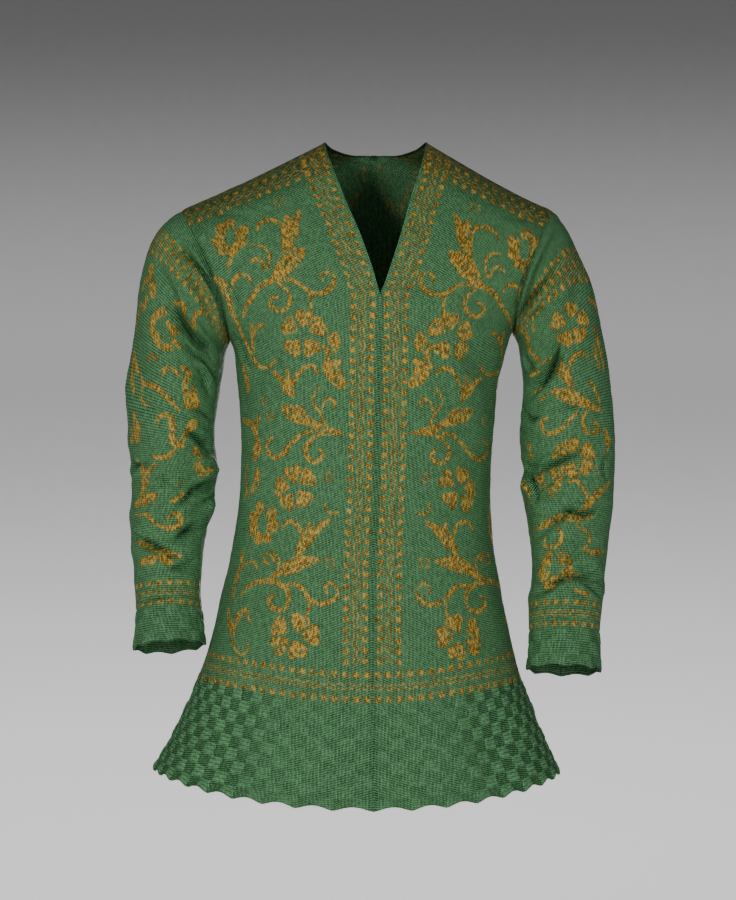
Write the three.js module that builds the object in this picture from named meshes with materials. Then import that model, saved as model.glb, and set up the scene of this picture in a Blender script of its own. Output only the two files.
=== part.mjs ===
// A hip-length jacket of knitted silk, standing hollow as a wearer fills it: two fronts that meet
// edge to edge below a V neck, a one-piece back and two long sleeves.
// The lower body and the cuffs are knitted in a basket of raised and sunk blocks with a scalloped edge.
//
// Frame: millimetres, +Z up, -Y to the front, +X to the wearer's left.
// The origin is the middle of the neck, level with the two points where the shoulder seams meet the neck.
//
// Every piece is a wall of cloth. Its surface is a stack of rows: on the body a row runs from the middle
// of the body to the side seam or the armhole, and on a sleeve it is a ring round the arm.

import * as THREE from "three";

// ---------------------------------------------------------------- driving sizes

const CLOTH = 2.0; // thickness of the knitted wall
const SEAM_GAP = 0.5; // space between two pieces along a seam
const BLOCK_RELIEF = 0.65; // a block of the basket knit stands this far out of, or into, the wall
const SCALLOP_DEPTH = 4.5; // hem edge, from the top of an arch to its points
const CUFF_SCALLOP_DEPTH = 2.6;

const HEM_BLOCKS = { right: 20, left: 18 }; // blocks across one half of the hem, front or back
const HEM_BLOCK_ROWS = 9;
const BASKET_START = 0.77; // where the basket knit starts, as a share of the way from armpit to hem
const CUFF_BLOCKS = 16;
const CUFF_BLOCK_ROWS = 3;
const CUFF_LENGTH = 43;

const ARMHOLE_STEPS = 12; // rows from the armpit up to the shoulder, one each 15 degrees of the armhole
const ARMHOLE_STEP = 180 / ARMHOLE_STEPS;
const PANEL_COLUMNS = 10; // columns across one half of the body, above the basket knit
const PLAIN_ROWS = 16; // rows between the basket knit and the armpit
const PLAIN_END = 0.745; // the lowest of them, as a share of the way from armpit to hem
const PLAIN_CROWDING = 1.25;
const SLEEVE_COLUMNS = 24; // one each 15 degrees, so that a sleeve meets the armhole's rows
const RINGS_PER_SECTION = 3.2;
const SECTION_SPACING = 39; // between two of a sleeve's sections, along the arm
const ARM_RADIUS = 48; // of a sleeve, for lengths measured round it

const GREEN = 0x2f6b45;

// Half-width of the body below the armpit, at the side seam.
const SIDE_SEAM = {
  right: [
    { z: -205, out: 160 },
    { z: -215, out: 155.5 },
    { z: -225, out: 151.5 },
    { z: -240, out: 149 },
    { z: -257, out: 147.5 },
    { z: -290, out: 145 },
    { z: -340, out: 143.5 },
    { z: -386, out: 146 },
    { z: -440, out: 153.5 },
    { z: -500, out: 167 },
    { z: -560, out: 183 },
    { z: -600, out: 199 },
    { z: -640, out: 218 },
    { z: -680, out: 241 },
    { z: -710, out: 258 },
  ],
  left: [
    { z: -196, out: 155 },
    { z: -206, out: 149.6 },
    { z: -215, out: 145.5 },
    { z: -231, out: 140 },
    { z: -257, out: 134.5 },
    { z: -300, out: 129.5 },
    { z: -340, out: 126 },
    { z: -386, out: 126 },
    { z: -440, out: 130 },
    { z: -500, out: 140 },
    { z: -560, out: 152.5 },
    { z: -600, out: 165.5 },
    { z: -640, out: 182 },
    { z: -680, out: 201 },
    { z: -710, out: 215 },
  ],
};

// How far the cloth lies in front of and behind the shoulder line, at the middle of the body,
// and where the front opening runs.
const MIDDLE = [
  { z: -205, front: 111.5, back: 103, opening: 5.5 },
  { z: -225, front: 110, back: 100, opening: 5 },
  { z: -257, front: 106.5, back: 95, opening: 4.5 },
  { z: -290, front: 102, back: 89, opening: 4 },
  { z: -340, front: 98, back: 84, opening: 3 },
  { z: -386, front: 99.5, back: 88, opening: 1.5 },
  { z: -440, front: 105, back: 99, opening: -1 },
  { z: -500, front: 112, back: 113, opening: -2 },
  { z: -560, front: 119, back: 126, opening: -2 },
  { z: -600, front: 125, back: 134, opening: -1.5 },
  { z: -640, front: 131, back: 141, opening: -1 },
  { z: -680, front: 137, back: 148, opening: -0.5 },
  { z: -710, front: 142, back: 153, opening: -0.5 },
];

const ARMPIT_MIDDLE_Z = -225; // the armpit's row, at the middle of the body
const HEM_Z = { front: -706, back: -696, sideRight: -676, sideLeft: -680 };

// The V neck, one row of the body each: step is the row, counted up from the armpit.
// The row below the armpit only sets the slope there, as it does in the next two tables.
const V_NECK = [
  { step: -1, z: -251, y: -107.5, right: 4.5, left: 4.5 },
  { step: 0, z: -225, y: -110, right: 5, left: 5 },
  { step: 1, z: -199, y: -110.5, right: 5.6, left: 5.6 },
  { step: 2, z: -172, y: -109, right: 6, left: 6 },
  { step: 3, z: -158, y: -105.5, right: 2.7, left: 11 },
  { step: 4, z: -140, y: -102, right: -2.5, left: 17 },
  { step: 5, z: -120, y: -97, right: -9.5, left: 23.5 },
  { step: 6, z: -100, y: -90, right: -17, left: 29.5 },
  { step: 7, z: -80, y: -81.5, right: -25.5, left: 35 },
  { step: 8, z: -60, y: -71, right: -33.5, left: 40.5 },
  { step: 9, z: -40, y: -59, right: -41, left: 47 },
  { step: 10, z: -22, y: -45, right: -47.5, left: 52 },
  { step: 11, z: -8, y: -27, right: -52, left: 55 },
  { step: 12, z: 0, y: 0, right: -53, left: 56 },
];

// The middle of the back, and from step 9 on the neckline, out to the shoulder seam.
const BACK_NECK_STEP = 9;
const BACK_MIDDLE = [
  { step: -1, z: -247, y: 96.5, right: 0, left: 0 },
  { step: 0, z: -225, y: 100, right: 0, left: 0 },
  { step: 1, z: -203, y: 102, right: 0, left: 0 },
  { step: 2, z: -181, y: 103.5, right: 0, left: 0 },
  { step: 3, z: -158, y: 104, right: 0, left: 0 },
  { step: 4, z: -135, y: 102.5, right: 0, left: 0 },
  { step: 5, z: -111, y: 99, right: 0, left: 0 },
  { step: 6, z: -86, y: 92.5, right: 0, left: 0 },
  { step: 7, z: -61, y: 83, right: 0, left: 0 },
  { step: 8, z: -36, y: 70, right: 0, left: 0 },
  { step: 9, z: -12, y: 54, right: 0, left: 0 },
  { step: 10, z: -9.5, y: 48, right: -25, left: 26 },
  { step: 11, z: -5, y: 29, right: -44, left: 46 },
  { step: 12, z: 0, y: 0, right: -53, left: 56 },
];

// How a row arrives at the armhole: reach is the length of its end handle, and turn its direction,
// from 0 when it runs towards the other face of the body to 90 when it runs out to the side.
const ARRIVAL = [
  { step: -1, reach: 68, turn: 3, start: 0.62 },
  { step: 0, reach: 68, turn: 0, start: 0.62 },
  { step: 1, reach: 61, turn: 7, start: 0.615 },
  { step: 2, reach: 52, turn: 18, start: 0.595 },
  { step: 3, reach: 44, turn: 30, start: 0.565 },
  { step: 4, reach: 39, turn: 41, start: 0.52 },
  { step: 5, reach: 36, turn: 49, start: 0.48 },
  { step: 6, reach: 35, turn: 56, start: 0.44 },
  { step: 7, reach: 36, turn: 62, start: 0.41 },
  { step: 8, reach: 38, turn: 68, start: 0.38 },
  { step: 9, reach: 41, turn: 74, start: 0.36 },
  { step: 10, reach: 44, turn: 80, start: 0.34 },
  { step: 11, reach: 47, turn: 86, start: 0.33 },
  { step: 12, reach: 48, turn: 90, start: 0.33 },
];
const ROUNDNESS = 0.62; // handle of a body ring's quarter, as a share of its width or depth
const RIDGE_START = 0.36; // how far the shoulder seam has fallen at its first handle
const RIDGE_FALL = 0.42; // how steeply it arrives at the armhole

// A sleeve's sections, from the armhole to the cuff's edge: the outer and the inner point of each as
// seen from the front, its middle's place in depth, its half-depth, and how far its front is tipped up.
const SLEEVE = {
  right: [
    { outX: -208.5, outZ: -74.5, inX: -155.5, inZ: -215, midY: 0, deep: 62, tip: 0 },
    { outX: -236, outZ: -100.5, inX: -160.5, inZ: -229, midY: 1, deep: 61, tip: 0 },
    { outX: -252.5, outZ: -147, inX: -163, inZ: -246, midY: 3, deep: 58, tip: 0 },
    { outX: -258.5, outZ: -203, inX: -167, inZ: -268, midY: 6, deep: 55, tip: 0 },
    { outX: -268, outZ: -261.5, inX: -171, inZ: -298, midY: 10, deep: 52, tip: 0 },
    { outX: -266, outZ: -317.5, inX: -173.5, inZ: -331, midY: 12, deep: 49, tip: 1 },
    { outX: -262.5, outZ: -356, inX: -170.5, inZ: -361, midY: 9, deep: 47, tip: 4 },
    { outX: -263, outZ: -397, inX: -176, inZ: -396, midY: 0, deep: 44, tip: 8 },
    { outX: -260, outZ: -437, inX: -182.5, inZ: -434, midY: -11, deep: 40, tip: 11 },
    { outX: -257, outZ: -475, inX: -186, inZ: -472, midY: -21, deep: 38, tip: 13 },
    { outX: -255, outZ: -510, inX: -183.5, inZ: -507, midY: -30, deep: 37, tip: 14 },
    { outX: -257, outZ: -547, inX: -179.5, inZ: -541, midY: -40, deep: 39, tip: 14 },
  ],
  left: [
    { outX: 194.5, outZ: -75.5, inX: 149.6, inZ: -206, midY: 0, deep: 60, tip: 0 },
    { outX: 212, outZ: -101.5, inX: 155.8, inZ: -220, midY: 1, deep: 59, tip: 0 },
    { outX: 233, outZ: -149, inX: 158.6, inZ: -238, midY: 3, deep: 57, tip: 0 },
    { outX: 247, outZ: -204, inX: 161.8, inZ: -260, midY: 7, deep: 54, tip: 0 },
    { outX: 256, outZ: -258, inX: 159.8, inZ: -290, midY: 10, deep: 52, tip: 0 },
    { outX: 260.5, outZ: -306, inX: 158.5, inZ: -321, midY: 12, deep: 50, tip: 1 },
    { outX: 260.8, outZ: -346, inX: 161.5, inZ: -352, midY: 10, deep: 48, tip: 3 },
    { outX: 258.7, outZ: -385, inX: 162.5, inZ: -386, midY: 3, deep: 46, tip: 7 },
    { outX: 253.8, outZ: -421, inX: 167, inZ: -420, midY: -6, deep: 42, tip: 10 },
    { outX: 249, outZ: -457, inX: 169.5, inZ: -456, midY: -16, deep: 40, tip: 12 },
    { outX: 244.6, outZ: -494.5, inX: 166.5, inZ: -493, midY: -26, deep: 38, tip: 13 },
    { outX: 241, outZ: -532, inX: 165.5, inZ: -530, midY: -36, deep: 37.5, tip: 13 },
    { outX: 241.5, outZ: -570, inX: 161.5, inZ: -567, midY: -46, deep: 39, tip: 13 },
  ],
};
const ARMHOLE_INSET = 8.5; // the armhole's front and back lie this much nearer the neck than its ends

// Troughs pressed into the cloth. On a sleeve, at is the section and around the angle from the outer side,
// by way of the front. On the body, at is the height and around the distance from the middle, to the
// wearer's left. A trough is long, wide and deep as given; lean is its slope from level.
const SLEEVE_TROUGHS = {
  right: [
    { at: 0.65, around: 88, long: 105, wide: 9, deep: 7, lean: 0 },
    { at: 2.0, around: 104, long: 90, wide: 10, deep: 8, lean: -18 },
    { at: 3.0, around: 122, long: 70, wide: 10, deep: 6, lean: -22 },
    { at: 3.6, around: 40, long: 70, wide: 13, deep: 4, lean: -30 },
    { at: 5.1, around: 150, long: 70, wide: 11, deep: 6, lean: -14 },
    { at: 6.3, around: 160, long: 60, wide: 9, deep: 7, lean: 22 },
    { at: 6.6, around: 108, long: 75, wide: 10, deep: 6, lean: 36 },
    { at: 7.7, around: 128, long: 60, wide: 10, deep: 5, lean: 22 },
    { at: 8.05, around: 62, long: 75, wide: 10, deep: 6, lean: -13 },
    { at: 9.3, around: 95, long: 60, wide: 8, deep: 3, lean: 8 },
    { at: 1.9, around: 245, long: 95, wide: 12, deep: 7, lean: 14 },
    { at: 4.6, around: 232, long: 80, wide: 13, deep: 5, lean: -20 },
    { at: 6.2, around: 285, long: 75, wide: 12, deep: 5, lean: 16 },
    { at: 7.9, around: 245, long: 70, wide: 11, deep: 5, lean: -14 },
  ],
  left: [
    { at: 0.6, around: 82, long: 105, wide: 9, deep: 7, lean: -4 },
    { at: 3.2, around: 118, long: 100, wide: 10, deep: 8, lean: 27 },
    { at: 2.1, around: 60, long: 60, wide: 12, deep: 4, lean: 12 },
    { at: 5.0, around: 60, long: 80, wide: 13, deep: 4, lean: 24 },
    { at: 6.1, around: 160, long: 70, wide: 9, deep: 7, lean: 8 },
    { at: 6.9, around: 128, long: 60, wide: 10, deep: 5, lean: -30 },
    { at: 7.6, around: 110, long: 80, wide: 10, deep: 6, lean: 26 },
    { at: 8.5, around: 70, long: 60, wide: 10, deep: 4, lean: 20 },
    { at: 9.5, around: 112, long: 55, wide: 9, deep: 6, lean: 28 },
    { at: 9.45, around: 56, long: 65, wide: 9, deep: 6, lean: -24 },
    { at: 10.6, around: 90, long: 60, wide: 8, deep: 3, lean: -6 },
    { at: 1.9, around: 245, long: 95, wide: 12, deep: 7, lean: -14 },
    { at: 4.8, around: 238, long: 80, wide: 13, deep: 5, lean: 18 },
    { at: 6.7, around: 288, long: 75, wide: 12, deep: 5, lean: -16 },
    { at: 8.6, around: 245, long: 70, wide: 11, deep: 5, lean: 14 },
  ],
};
const BODY_TROUGHS = {
  front: [
    { at: -250, around: -118, long: 80, wide: 12, deep: 3, lean: 58 },
    { at: -245, around: 112, long: 80, wide: 12, deep: 3, lean: -58 },
    { at: -330, around: 96, long: 120, wide: 16, deep: 2.5, lean: -72 },
    { at: -640, around: -150, long: 120, wide: 25, deep: 4.5, lean: -80 },
    { at: -645, around: 128, long: 115, wide: 24, deep: 4.5, lean: 80 },
  ],
  back: [
    { at: -240, around: -112, long: 90, wide: 13, deep: 4, lean: 55 },
    { at: -236, around: 106, long: 90, wide: 13, deep: 4, lean: -55 },
    { at: -335, around: -40, long: 110, wide: 15, deep: 3.5, lean: 12 },
    { at: -362, around: 38, long: 100, wide: 15, deep: 3, lean: -10 },
    { at: -610, around: -95, long: 190, wide: 30, deep: 6.5, lean: -84 },
    { at: -620, around: 0, long: 180, wide: 28, deep: 5.5, lean: 90 },
    { at: -610, around: 90, long: 190, wide: 30, deep: 6.5, lean: 84 },
  ],
};
const TROUGH_BANK = 0.4; // a trough's banks rise by this share of its depth

// ---------------------------------------------------------------- small helpers

const radians = THREE.MathUtils.degToRad;
const SIGN = { right: -1, left: 1 };
const FACING = { front: -1, back: 1 };

/** A column of a table between its rows, on a smooth curve through them. */
function read(table, key, column, at) {
  const rising = table[0][key] < table[table.length - 1][key];
  const place = (row) => (rising ? row[key] : -row[key]);
  const x = rising ? at : -at;
  let i = table.findIndex((row) => place(row) > x) - 1;
  if (i === -2) i = table.length - 2;
  i = THREE.MathUtils.clamp(i, 0, table.length - 2);
  const [a, b] = [table[i], table[i + 1]];
  const t = THREE.MathUtils.clamp((x - place(a)) / (place(b) - place(a)), 0, 1);
  const before = table[i - 1] ?? a;
  const after = table[i + 2] ?? b;
  const span = place(b) - place(a);
  const m0 = (span * (b[column] - before[column])) / (place(b) - place(before));
  const m1 = (span * (after[column] - a[column])) / (place(after) - place(a));
  const [t2, t3] = [t * t, t * t * t];
  return (
    (2 * t3 - 3 * t2 + 1) * a[column] +
    (t3 - 2 * t2 + t) * m0 +
    (3 * t2 - 2 * t3) * b[column] +
    (t3 - t2) * m1
  );
}

/** How far troughs lower the cloth at a place given in millimetres along and around it. */
function troughDepth(troughs, offsetOf) {
  let depth = 0;
  for (const trough of troughs) {
    const { across, up } = offsetOf(trough);
    const lean = radians(trough.lean);
    const run = across * Math.cos(lean) + up * Math.sin(lean);
    const off = (up * Math.cos(lean) - across * Math.sin(lean)) / trough.wide;
    const end = Math.abs(run) / (trough.long / 2);
    if (end >= 1 || Math.abs(off) > 5) continue;
    const fade = Math.cos((end * Math.PI) / 2) ** 2;
    const bank = Math.exp(-((Math.abs(off) - 1.9) ** 2));
    depth += trough.deep * fade * (Math.exp(-off * off) - TROUGH_BANK * bank);
  }
  return depth;
}

const ramp = (from, to, x) => THREE.MathUtils.smoothstep(x, from, to);

// ---------------------------------------------------------------- sleeves

/** A point of a sleeve: section counts along the arm, turn is the angle from the outer side, by the front. */
function sleevePoint(side, section, turn) {
  const rows = SLEEVE[side].map((row, number) => ({ ...row, number }));
  const at = (column) => read(rows, "number", column, section);
  const outer = new THREE.Vector3(at("outX"), 0, at("outZ"));
  const inner = new THREE.Vector3(at("inX"), 0, at("inZ"));
  const tip = radians(at("tip"));
  const angle = radians(turn);
  const inset = ARMHOLE_INSET * (1 - ramp(0, 2.5, section)) * Math.sin(angle) ** 2;
  const point = outer.clone().add(inner).multiplyScalar(0.5);
  point.addScaledVector(outer.clone().sub(inner), Math.cos(angle) / 2);
  point.y += at("midY") - at("deep") * Math.cos(tip) * Math.sin(angle);
  point.z += at("deep") * Math.sin(tip) * Math.sin(angle);
  point.x -= SIGN[side] * inset;
  return point;
}

/** How far the troughs push a sleeve's cloth inwards. */
function sleeveTrough(side, section, turn) {
  const rows = SLEEVE[side];
  const edge = ramp(0, 0.5, section) * (1 - ramp(rows.length - 2, rows.length - 1, section));
  return (
    edge *
    troughDepth(SLEEVE_TROUGHS[side], (trough) => {
      const apart = THREE.MathUtils.euclideanModulo(turn - trough.around + 180, 360) - 180;
      return {
        across: -SIGN[side] * radians(apart) * ARM_RADIUS,
        up: (trough.at - section) * SECTION_SPACING,
      };
    })
  );
}

// ---------------------------------------------------------------- body

/**
 * The four control points of half a row of the body. A level from 0 to 12 counts steps up the armhole,
 * and from 0 to -1 it is the share of the way down from the armpit to the hem.
 */
function halfRow(side, face, level) {
  const out = SIGN[side];
  const facing = FACING[face];
  if (level >= 0) {
    const table = face === "front" ? V_NECK : BACK_MIDDLE;
    const at = (column) => read(table, "step", column, level);
    const from = new THREE.Vector3(at(side), at("y"), at("z"));
    const turn = 180 + facing * level * ARMHOLE_STEP;
    const to = sleevePoint(side, 0, turn);
    const reach = read(ARRIVAL, "step", "reach", level);
    const heading = radians(read(ARRIVAL, "step", "turn", level));
    const start = read(ARRIVAL, "step", "start", level) * Math.abs(to.x - from.x);
    const fall = to.z - from.z;
    const p1 = new THREE.Vector3(from.x + out * start, from.y, from.z + fall * RIDGE_START);
    const p2 = new THREE.Vector3(
      to.x - out * reach * Math.sin(heading),
      to.y + facing * reach * Math.cos(heading),
      to.z + reach * Math.sin(heading) * RIDGE_FALL * ramp(0, 12, level),
    );
    return [from, p1, p2, to];
  }
  const down = -level;
  const armpit = SLEEVE[side][0].inZ;
  const sideZ = THREE.MathUtils.lerp(armpit, HEM_Z[side === "right" ? "sideRight" : "sideLeft"], down);
  const z = THREE.MathUtils.lerp(ARMPIT_MIDDLE_Z, HEM_Z[face], down);
  const opening = face === "front" ? read(MIDDLE, "z", "opening", z) : 0;
  const from = new THREE.Vector3(opening, facing * read(MIDDLE, "z", face, z), z);
  const to = new THREE.Vector3(out * read(SIDE_SEAM[side], "z", "out", sideZ), 0, sideZ);
  const wide = Math.abs(to.x - from.x);
  const p1 = new THREE.Vector3(from.x + out * wide * ROUNDNESS, from.y, from.z);
  const p2 = new THREE.Vector3(to.x, from.y * ROUNDNESS, to.z);
  return [from, p1, p2, to];
}

/** A point of the body, u running from 0 at its middle to 1 at the side. */
function bodyPoint(side, face, level, u) {
  const points = halfRow(side, face, level);
  return new THREE.CubicBezierCurve3(...points).getPoint(u);
}

/** How far the troughs push the body's cloth inwards. */
function bodyTrough(face, point, level) {
  const edge = 1 - ramp(0, 3, level);
  return (
    edge *
    troughDepth(BODY_TROUGHS[face], (trough) => ({
      across: point.x - trough.around,
      up: point.z - trough.at,
    }))
  );
}

// ---------------------------------------------------------------- the basket knit

/** +1 on a raised block and -1 on a sunk one. */
const blockSign = (column, row) => ((column + row) % 2 === 0 ? 1 : -1);

/** Columns at a quarter and three quarters of each block, with the two ends. */
function blockColumns(blocks) {
  const inside = [];
  for (let b = 0; b < blocks; b++) inside.push((b + 0.25) / blocks, (b + 0.75) / blocks);
  return [0, ...inside, 1];
}

/** How far the scalloped edge rises above its points, at a place counted in blocks. */
const scallop = (place, depth) => depth * Math.sin((place / 2) * Math.PI) ** 2;

// ---------------------------------------------------------------- sheets of rows

/** A surface made of rows of points. Each point has a key, which is the same on both faces of a wall. */
class Sheet {
  constructor() {
    this.points = [];
    this.lifts = [];
    this.keys = [];
    this.faces = [];
  }

  /** Adds a point and gives its number. */
  add(point, lift, key) {
    this.points.push(point);
    this.lifts.push(lift);
    this.keys.push(key);
    return this.points.length - 1;
  }

  /** Fills the strip between two rows, of any counts, given as [number, share of the row] pairs. */
  strip(lower, upper) {
    let [i, j] = [0, 0];
    while (i < lower.length - 1 || j < upper.length - 1) {
      const nextLower = i < lower.length - 1 ? lower[i + 1][1] : Infinity;
      const nextUpper = j < upper.length - 1 ? upper[j + 1][1] : Infinity;
      if (nextLower <= nextUpper) {
        this.faces.push([lower[i][0], lower[i + 1][0], upper[j][0]]);
        i++;
      } else {
        this.faces.push([lower[i][0], upper[j + 1][0], upper[j][0]]);
        j++;
      }
    }
  }

  /** The faces' normals summed at each point, by their angle there, and the edges that one face has. */
  measure() {
    const normals = this.points.map(() => new THREE.Vector3());
    const edges = new Map();
    for (const face of this.faces) {
      const corners = face.map((n) => this.points[n]);
      for (let k = 0; k < 3; k++) {
        const [from, to] = [face[k], face[(k + 1) % 3]];
        const ahead = corners[(k + 1) % 3].clone().sub(corners[k]);
        const behind = corners[(k + 2) % 3].clone().sub(corners[k]);
        const angle = ahead.angleTo(behind);
        normals[from].addScaledVector(ahead.cross(behind).normalize(), angle);
        const back = `${to}-${from}`;
        if (edges.has(back)) edges.delete(back);
        else edges.set(`${from}-${to}`, [from, to]);
      }
    }
    return { normals, border: [...edges.values()] };
  }
}

/** One name for a place, whichever piece it is on. */
const placeKey = (p) => [p.x, p.y, p.z].map((v) => Math.round(v * 100)).join(",");

/** The rows of the body from the hem up: each has a level and, in the basket knit, its row of blocks. */
function bodyRows() {
  const rows = [];
  for (let j = HEM_BLOCK_ROWS; j >= 0; j--) {
    const share = j === HEM_BLOCK_ROWS ? 1 : (j + 0.5) / HEM_BLOCK_ROWS;
    rows.push({ level: -(BASKET_START + (1 - BASKET_START) * share), basketRow: j });
  }
  // The rows draw closer towards the armpit.
  for (let k = PLAIN_ROWS; k > 0; k--) {
    rows.push({ level: -PLAIN_END * (k / PLAIN_ROWS) ** PLAIN_CROWDING });
  }
  for (let step = 0; step <= ARMHOLE_STEPS; step++) rows.push({ level: step });
  return rows;
}

const evenColumns = (count) => Array.from({ length: count + 1 }, (_, i) => i / count);

/** The points of half a row: on the outer face the blocks are raised, and the hem row is scalloped. */
function halfRowPoints(sheet, outerFace, side, face, row) {
  const blocks = HEM_BLOCKS[side];
  const isHem = row.basketRow === HEM_BLOCK_ROWS;
  const fine = row.basketRow !== undefined && (outerFace || isHem);
  const columns = fine ? blockColumns(blocks) : evenColumns(PANEL_COLUMNS);
  return columns.map((u) => {
    const point = bodyPoint(side, face, row.level, u);
    const seam = u === 1 || (u === 0 && face === "front");
    const along = u * blocks;
    if (isHem) point.z += scallop(along, SCALLOP_DEPTH);
    let lift = -bodyTrough(face, point, row.level) * (u === 1 ? 0 : 1);
    if (outerFace && row.basketRow !== undefined && !isHem && !seam) {
      lift += BLOCK_RELIEF * blockSign(Math.floor(along), row.basketRow);
    }
    return [sheet.add(point, lift, `${side} ${row.level} ${u.toFixed(4)}`), u];
  });
}

/** One face of a front's wall. */
function frontSheet(side, outerFace) {
  const sheet = new Sheet();
  let below = null;
  for (const row of bodyRows()) {
    const here = halfRowPoints(sheet, outerFace, side, "front", row);
    if (below) sheet.strip(below, here);
    below = here;
  }
  if (side === "right") sheet.faces.forEach((face) => face.reverse());
  return sheet;
}

/** One face of the back's wall: both halves share their middle column up to the neckline. */
function backSheet(outerFace) {
  const sheet = new Sheet();
  let below = null;
  for (const row of bodyRows()) {
    const right = halfRowPoints(sheet, outerFace, "right", "back", row);
    const left = halfRowPoints(sheet, outerFace, "left", "back", row);
    if (row.level <= BACK_NECK_STEP) left[0][0] = right[0][0];
    if (below) {
      const count = sheet.faces.length;
      sheet.strip(below.left, left);
      sheet.faces.slice(count).forEach((face) => face.reverse());
      sheet.strip(below.right, right);
    }
    below = { right, left };
  }
  return sheet;
}

/** One face of a sleeve's wall. */
function sleeveSheet(side, outerFace) {
  const sheet = new Sheet();
  const last = SLEEVE[side].length - 1;
  const cuffSections = CUFF_LENGTH / SECTION_SPACING;
  const cuffStart = last - cuffSections;
  const plainEnd = cuffStart - cuffSections / CUFF_BLOCK_ROWS / 2;
  const count = Math.round(plainEnd * RINGS_PER_SECTION);
  const rings = Array.from({ length: count + 1 }, (_, i) => ({ section: (i / count) * plainEnd }));
  for (let j = 0; j < CUFF_BLOCK_ROWS; j++) {
    rings.push({ section: cuffStart + (cuffSections * (j + 0.5)) / CUFF_BLOCK_ROWS, cuffRow: j });
  }
  rings.push({ section: last, cuffRow: CUFF_BLOCK_ROWS });

  let above = null;
  for (const ring of rings) {
    const isEdge = ring.cuffRow === CUFF_BLOCK_ROWS;
    const fine = ring.cuffRow !== undefined && (outerFace || isEdge);
    const columns = fine
      ? blockColumns(CUFF_BLOCKS).slice(1, -1)
      : evenColumns(SLEEVE_COLUMNS).slice(0, -1);
    const here = columns.map((share) => {
      const turn = share * 360;
      const along = share * CUFF_BLOCKS;
      const point = sleevePoint(side, ring.section, turn);
      if (isEdge) point.z += scallop(along, CUFF_SCALLOP_DEPTH);
      let lift = -sleeveTrough(side, ring.section, turn);
      if (outerFace && ring.cuffRow !== undefined && !isEdge) {
        lift += BLOCK_RELIEF * blockSign(Math.floor(along), ring.cuffRow);
      }
      return [sheet.add(point, lift, `${ring.section.toFixed(3)} ${share.toFixed(4)}`), share];
    });
    // The ring closes on its first point, one whole turn on.
    here.push([here[0][0], here[0][1] + 1]);
    if (above) sheet.strip(above, here);
    above = here;
  }
  if (side === "right") sheet.faces.forEach((face) => face.reverse());
  return sheet;
}

// ---------------------------------------------------------------- walls

/** Turns the two faces of each piece into a closed wall, parted from its neighbours at the seams. */
function walls(pieces) {
  // One normal for each place, from all the pieces that meet there.
  const shared = new Map();
  for (const piece of pieces) {
    piece.outerMeasure = piece.outer.measure();
    piece.innerMeasure = piece.inner.measure();
    piece.outer.points.forEach((point, n) => {
      const key = placeKey(point);
      if (!shared.has(key)) shared.set(key, new THREE.Vector3());
      shared.get(key).add(piece.outerMeasure.normals[n]);
    });
  }

  for (const piece of pieces) {
    const { outer, inner } = piece;
    const border = new Set(piece.outerMeasure.border.flat());
    const normalOf = outer.points.map((point) => shared.get(placeKey(point)).clone().normalize());

    // At its border a piece steps back from the seam by half the gap.
    const steps = new Map();
    for (const [from, to] of piece.outerMeasure.border) {
      const edge = outer.points[to].clone().sub(outer.points[from]).normalize();
      for (const n of [from, to]) {
        if (!steps.has(n)) steps.set(n, new THREE.Vector3());
        steps.get(n).add(normalOf[n].clone().cross(edge).normalize());
      }
    }
    const borderStep = new Map();
    for (const [n, step] of steps) {
      borderStep.set(outer.keys[n], step.normalize().multiplyScalar(SEAM_GAP / 2));
    }
    const borderNormal = new Map([...border].map((n) => [outer.keys[n], normalOf[n]]));

    const place = (sheet, normals, thickness) =>
      sheet.points.map((point, n) => {
        const key = sheet.keys[n];
        const normal = borderNormal.get(key) ?? normals[n];
        const moved = point.clone().addScaledVector(normal, sheet.lifts[n] - thickness);
        if (borderStep.has(key)) moved.add(borderStep.get(key));
        return moved;
      });
    const innerNormals = piece.innerMeasure.normals.map((normal) => normal.clone().normalize());
    const outside = place(outer, normalOf, 0);
    const inside = place(inner, innerNormals, CLOTH);

    const innerNumber = new Map(inner.keys.map((key, n) => [key, n]));
    const positions = [...outside, ...inside].flatMap((p) => [p.x, p.y, p.z]);
    const shift = outside.length;
    const index = outer.faces.flat();
    for (const [a, b, c] of inner.faces) index.push(a + shift, c + shift, b + shift);
    for (const [from, to] of piece.outerMeasure.border) {
      const innerFrom = innerNumber.get(outer.keys[from]);
      const innerTo = innerNumber.get(outer.keys[to]);
      if (innerFrom === undefined || innerTo === undefined) {
        throw new Error(`${piece.name}: the inner face has no ${outer.keys[from]} or ${outer.keys[to]}`);
      }
      // Both sides of a seam cut their strip along the same diagonal.
      if (placeKey(outer.points[from]) < placeKey(outer.points[to])) {
        index.push(from, innerFrom + shift, to, to, innerFrom + shift, innerTo + shift);
      } else {
        index.push(from, innerFrom + shift, innerTo + shift, from, innerTo + shift, to);
      }
    }
    const geometry = new THREE.BufferGeometry();
    geometry.setAttribute("position", new THREE.Float32BufferAttribute(positions, 3));
    geometry.setIndex(index);
    geometry.computeVertexNormals();
    piece.geometry = geometry;
  }
}

// ---------------------------------------------------------------- the jacket

const knit = () => new THREE.MeshStandardMaterial({ color: GREEN, roughness: 0.8, metalness: 0 });

const pieces = [
  { name: "front_right", outer: frontSheet("right", true), inner: frontSheet("right", false) },
  { name: "front_left", outer: frontSheet("left", true), inner: frontSheet("left", false) },
  { name: "back", outer: backSheet(true), inner: backSheet(false) },
  { name: "sleeve_right", outer: sleeveSheet("right", true), inner: sleeveSheet("right", false) },
  { name: "sleeve_left", outer: sleeveSheet("left", true), inner: sleeveSheet("left", false) },
];
walls(pieces);

const jacket = new THREE.Group();
for (const piece of pieces) {
  const mesh = new THREE.Mesh(piece.geometry, knit());
  mesh.name = piece.name;
  jacket.add(mesh);
}

export default jacket;
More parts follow.
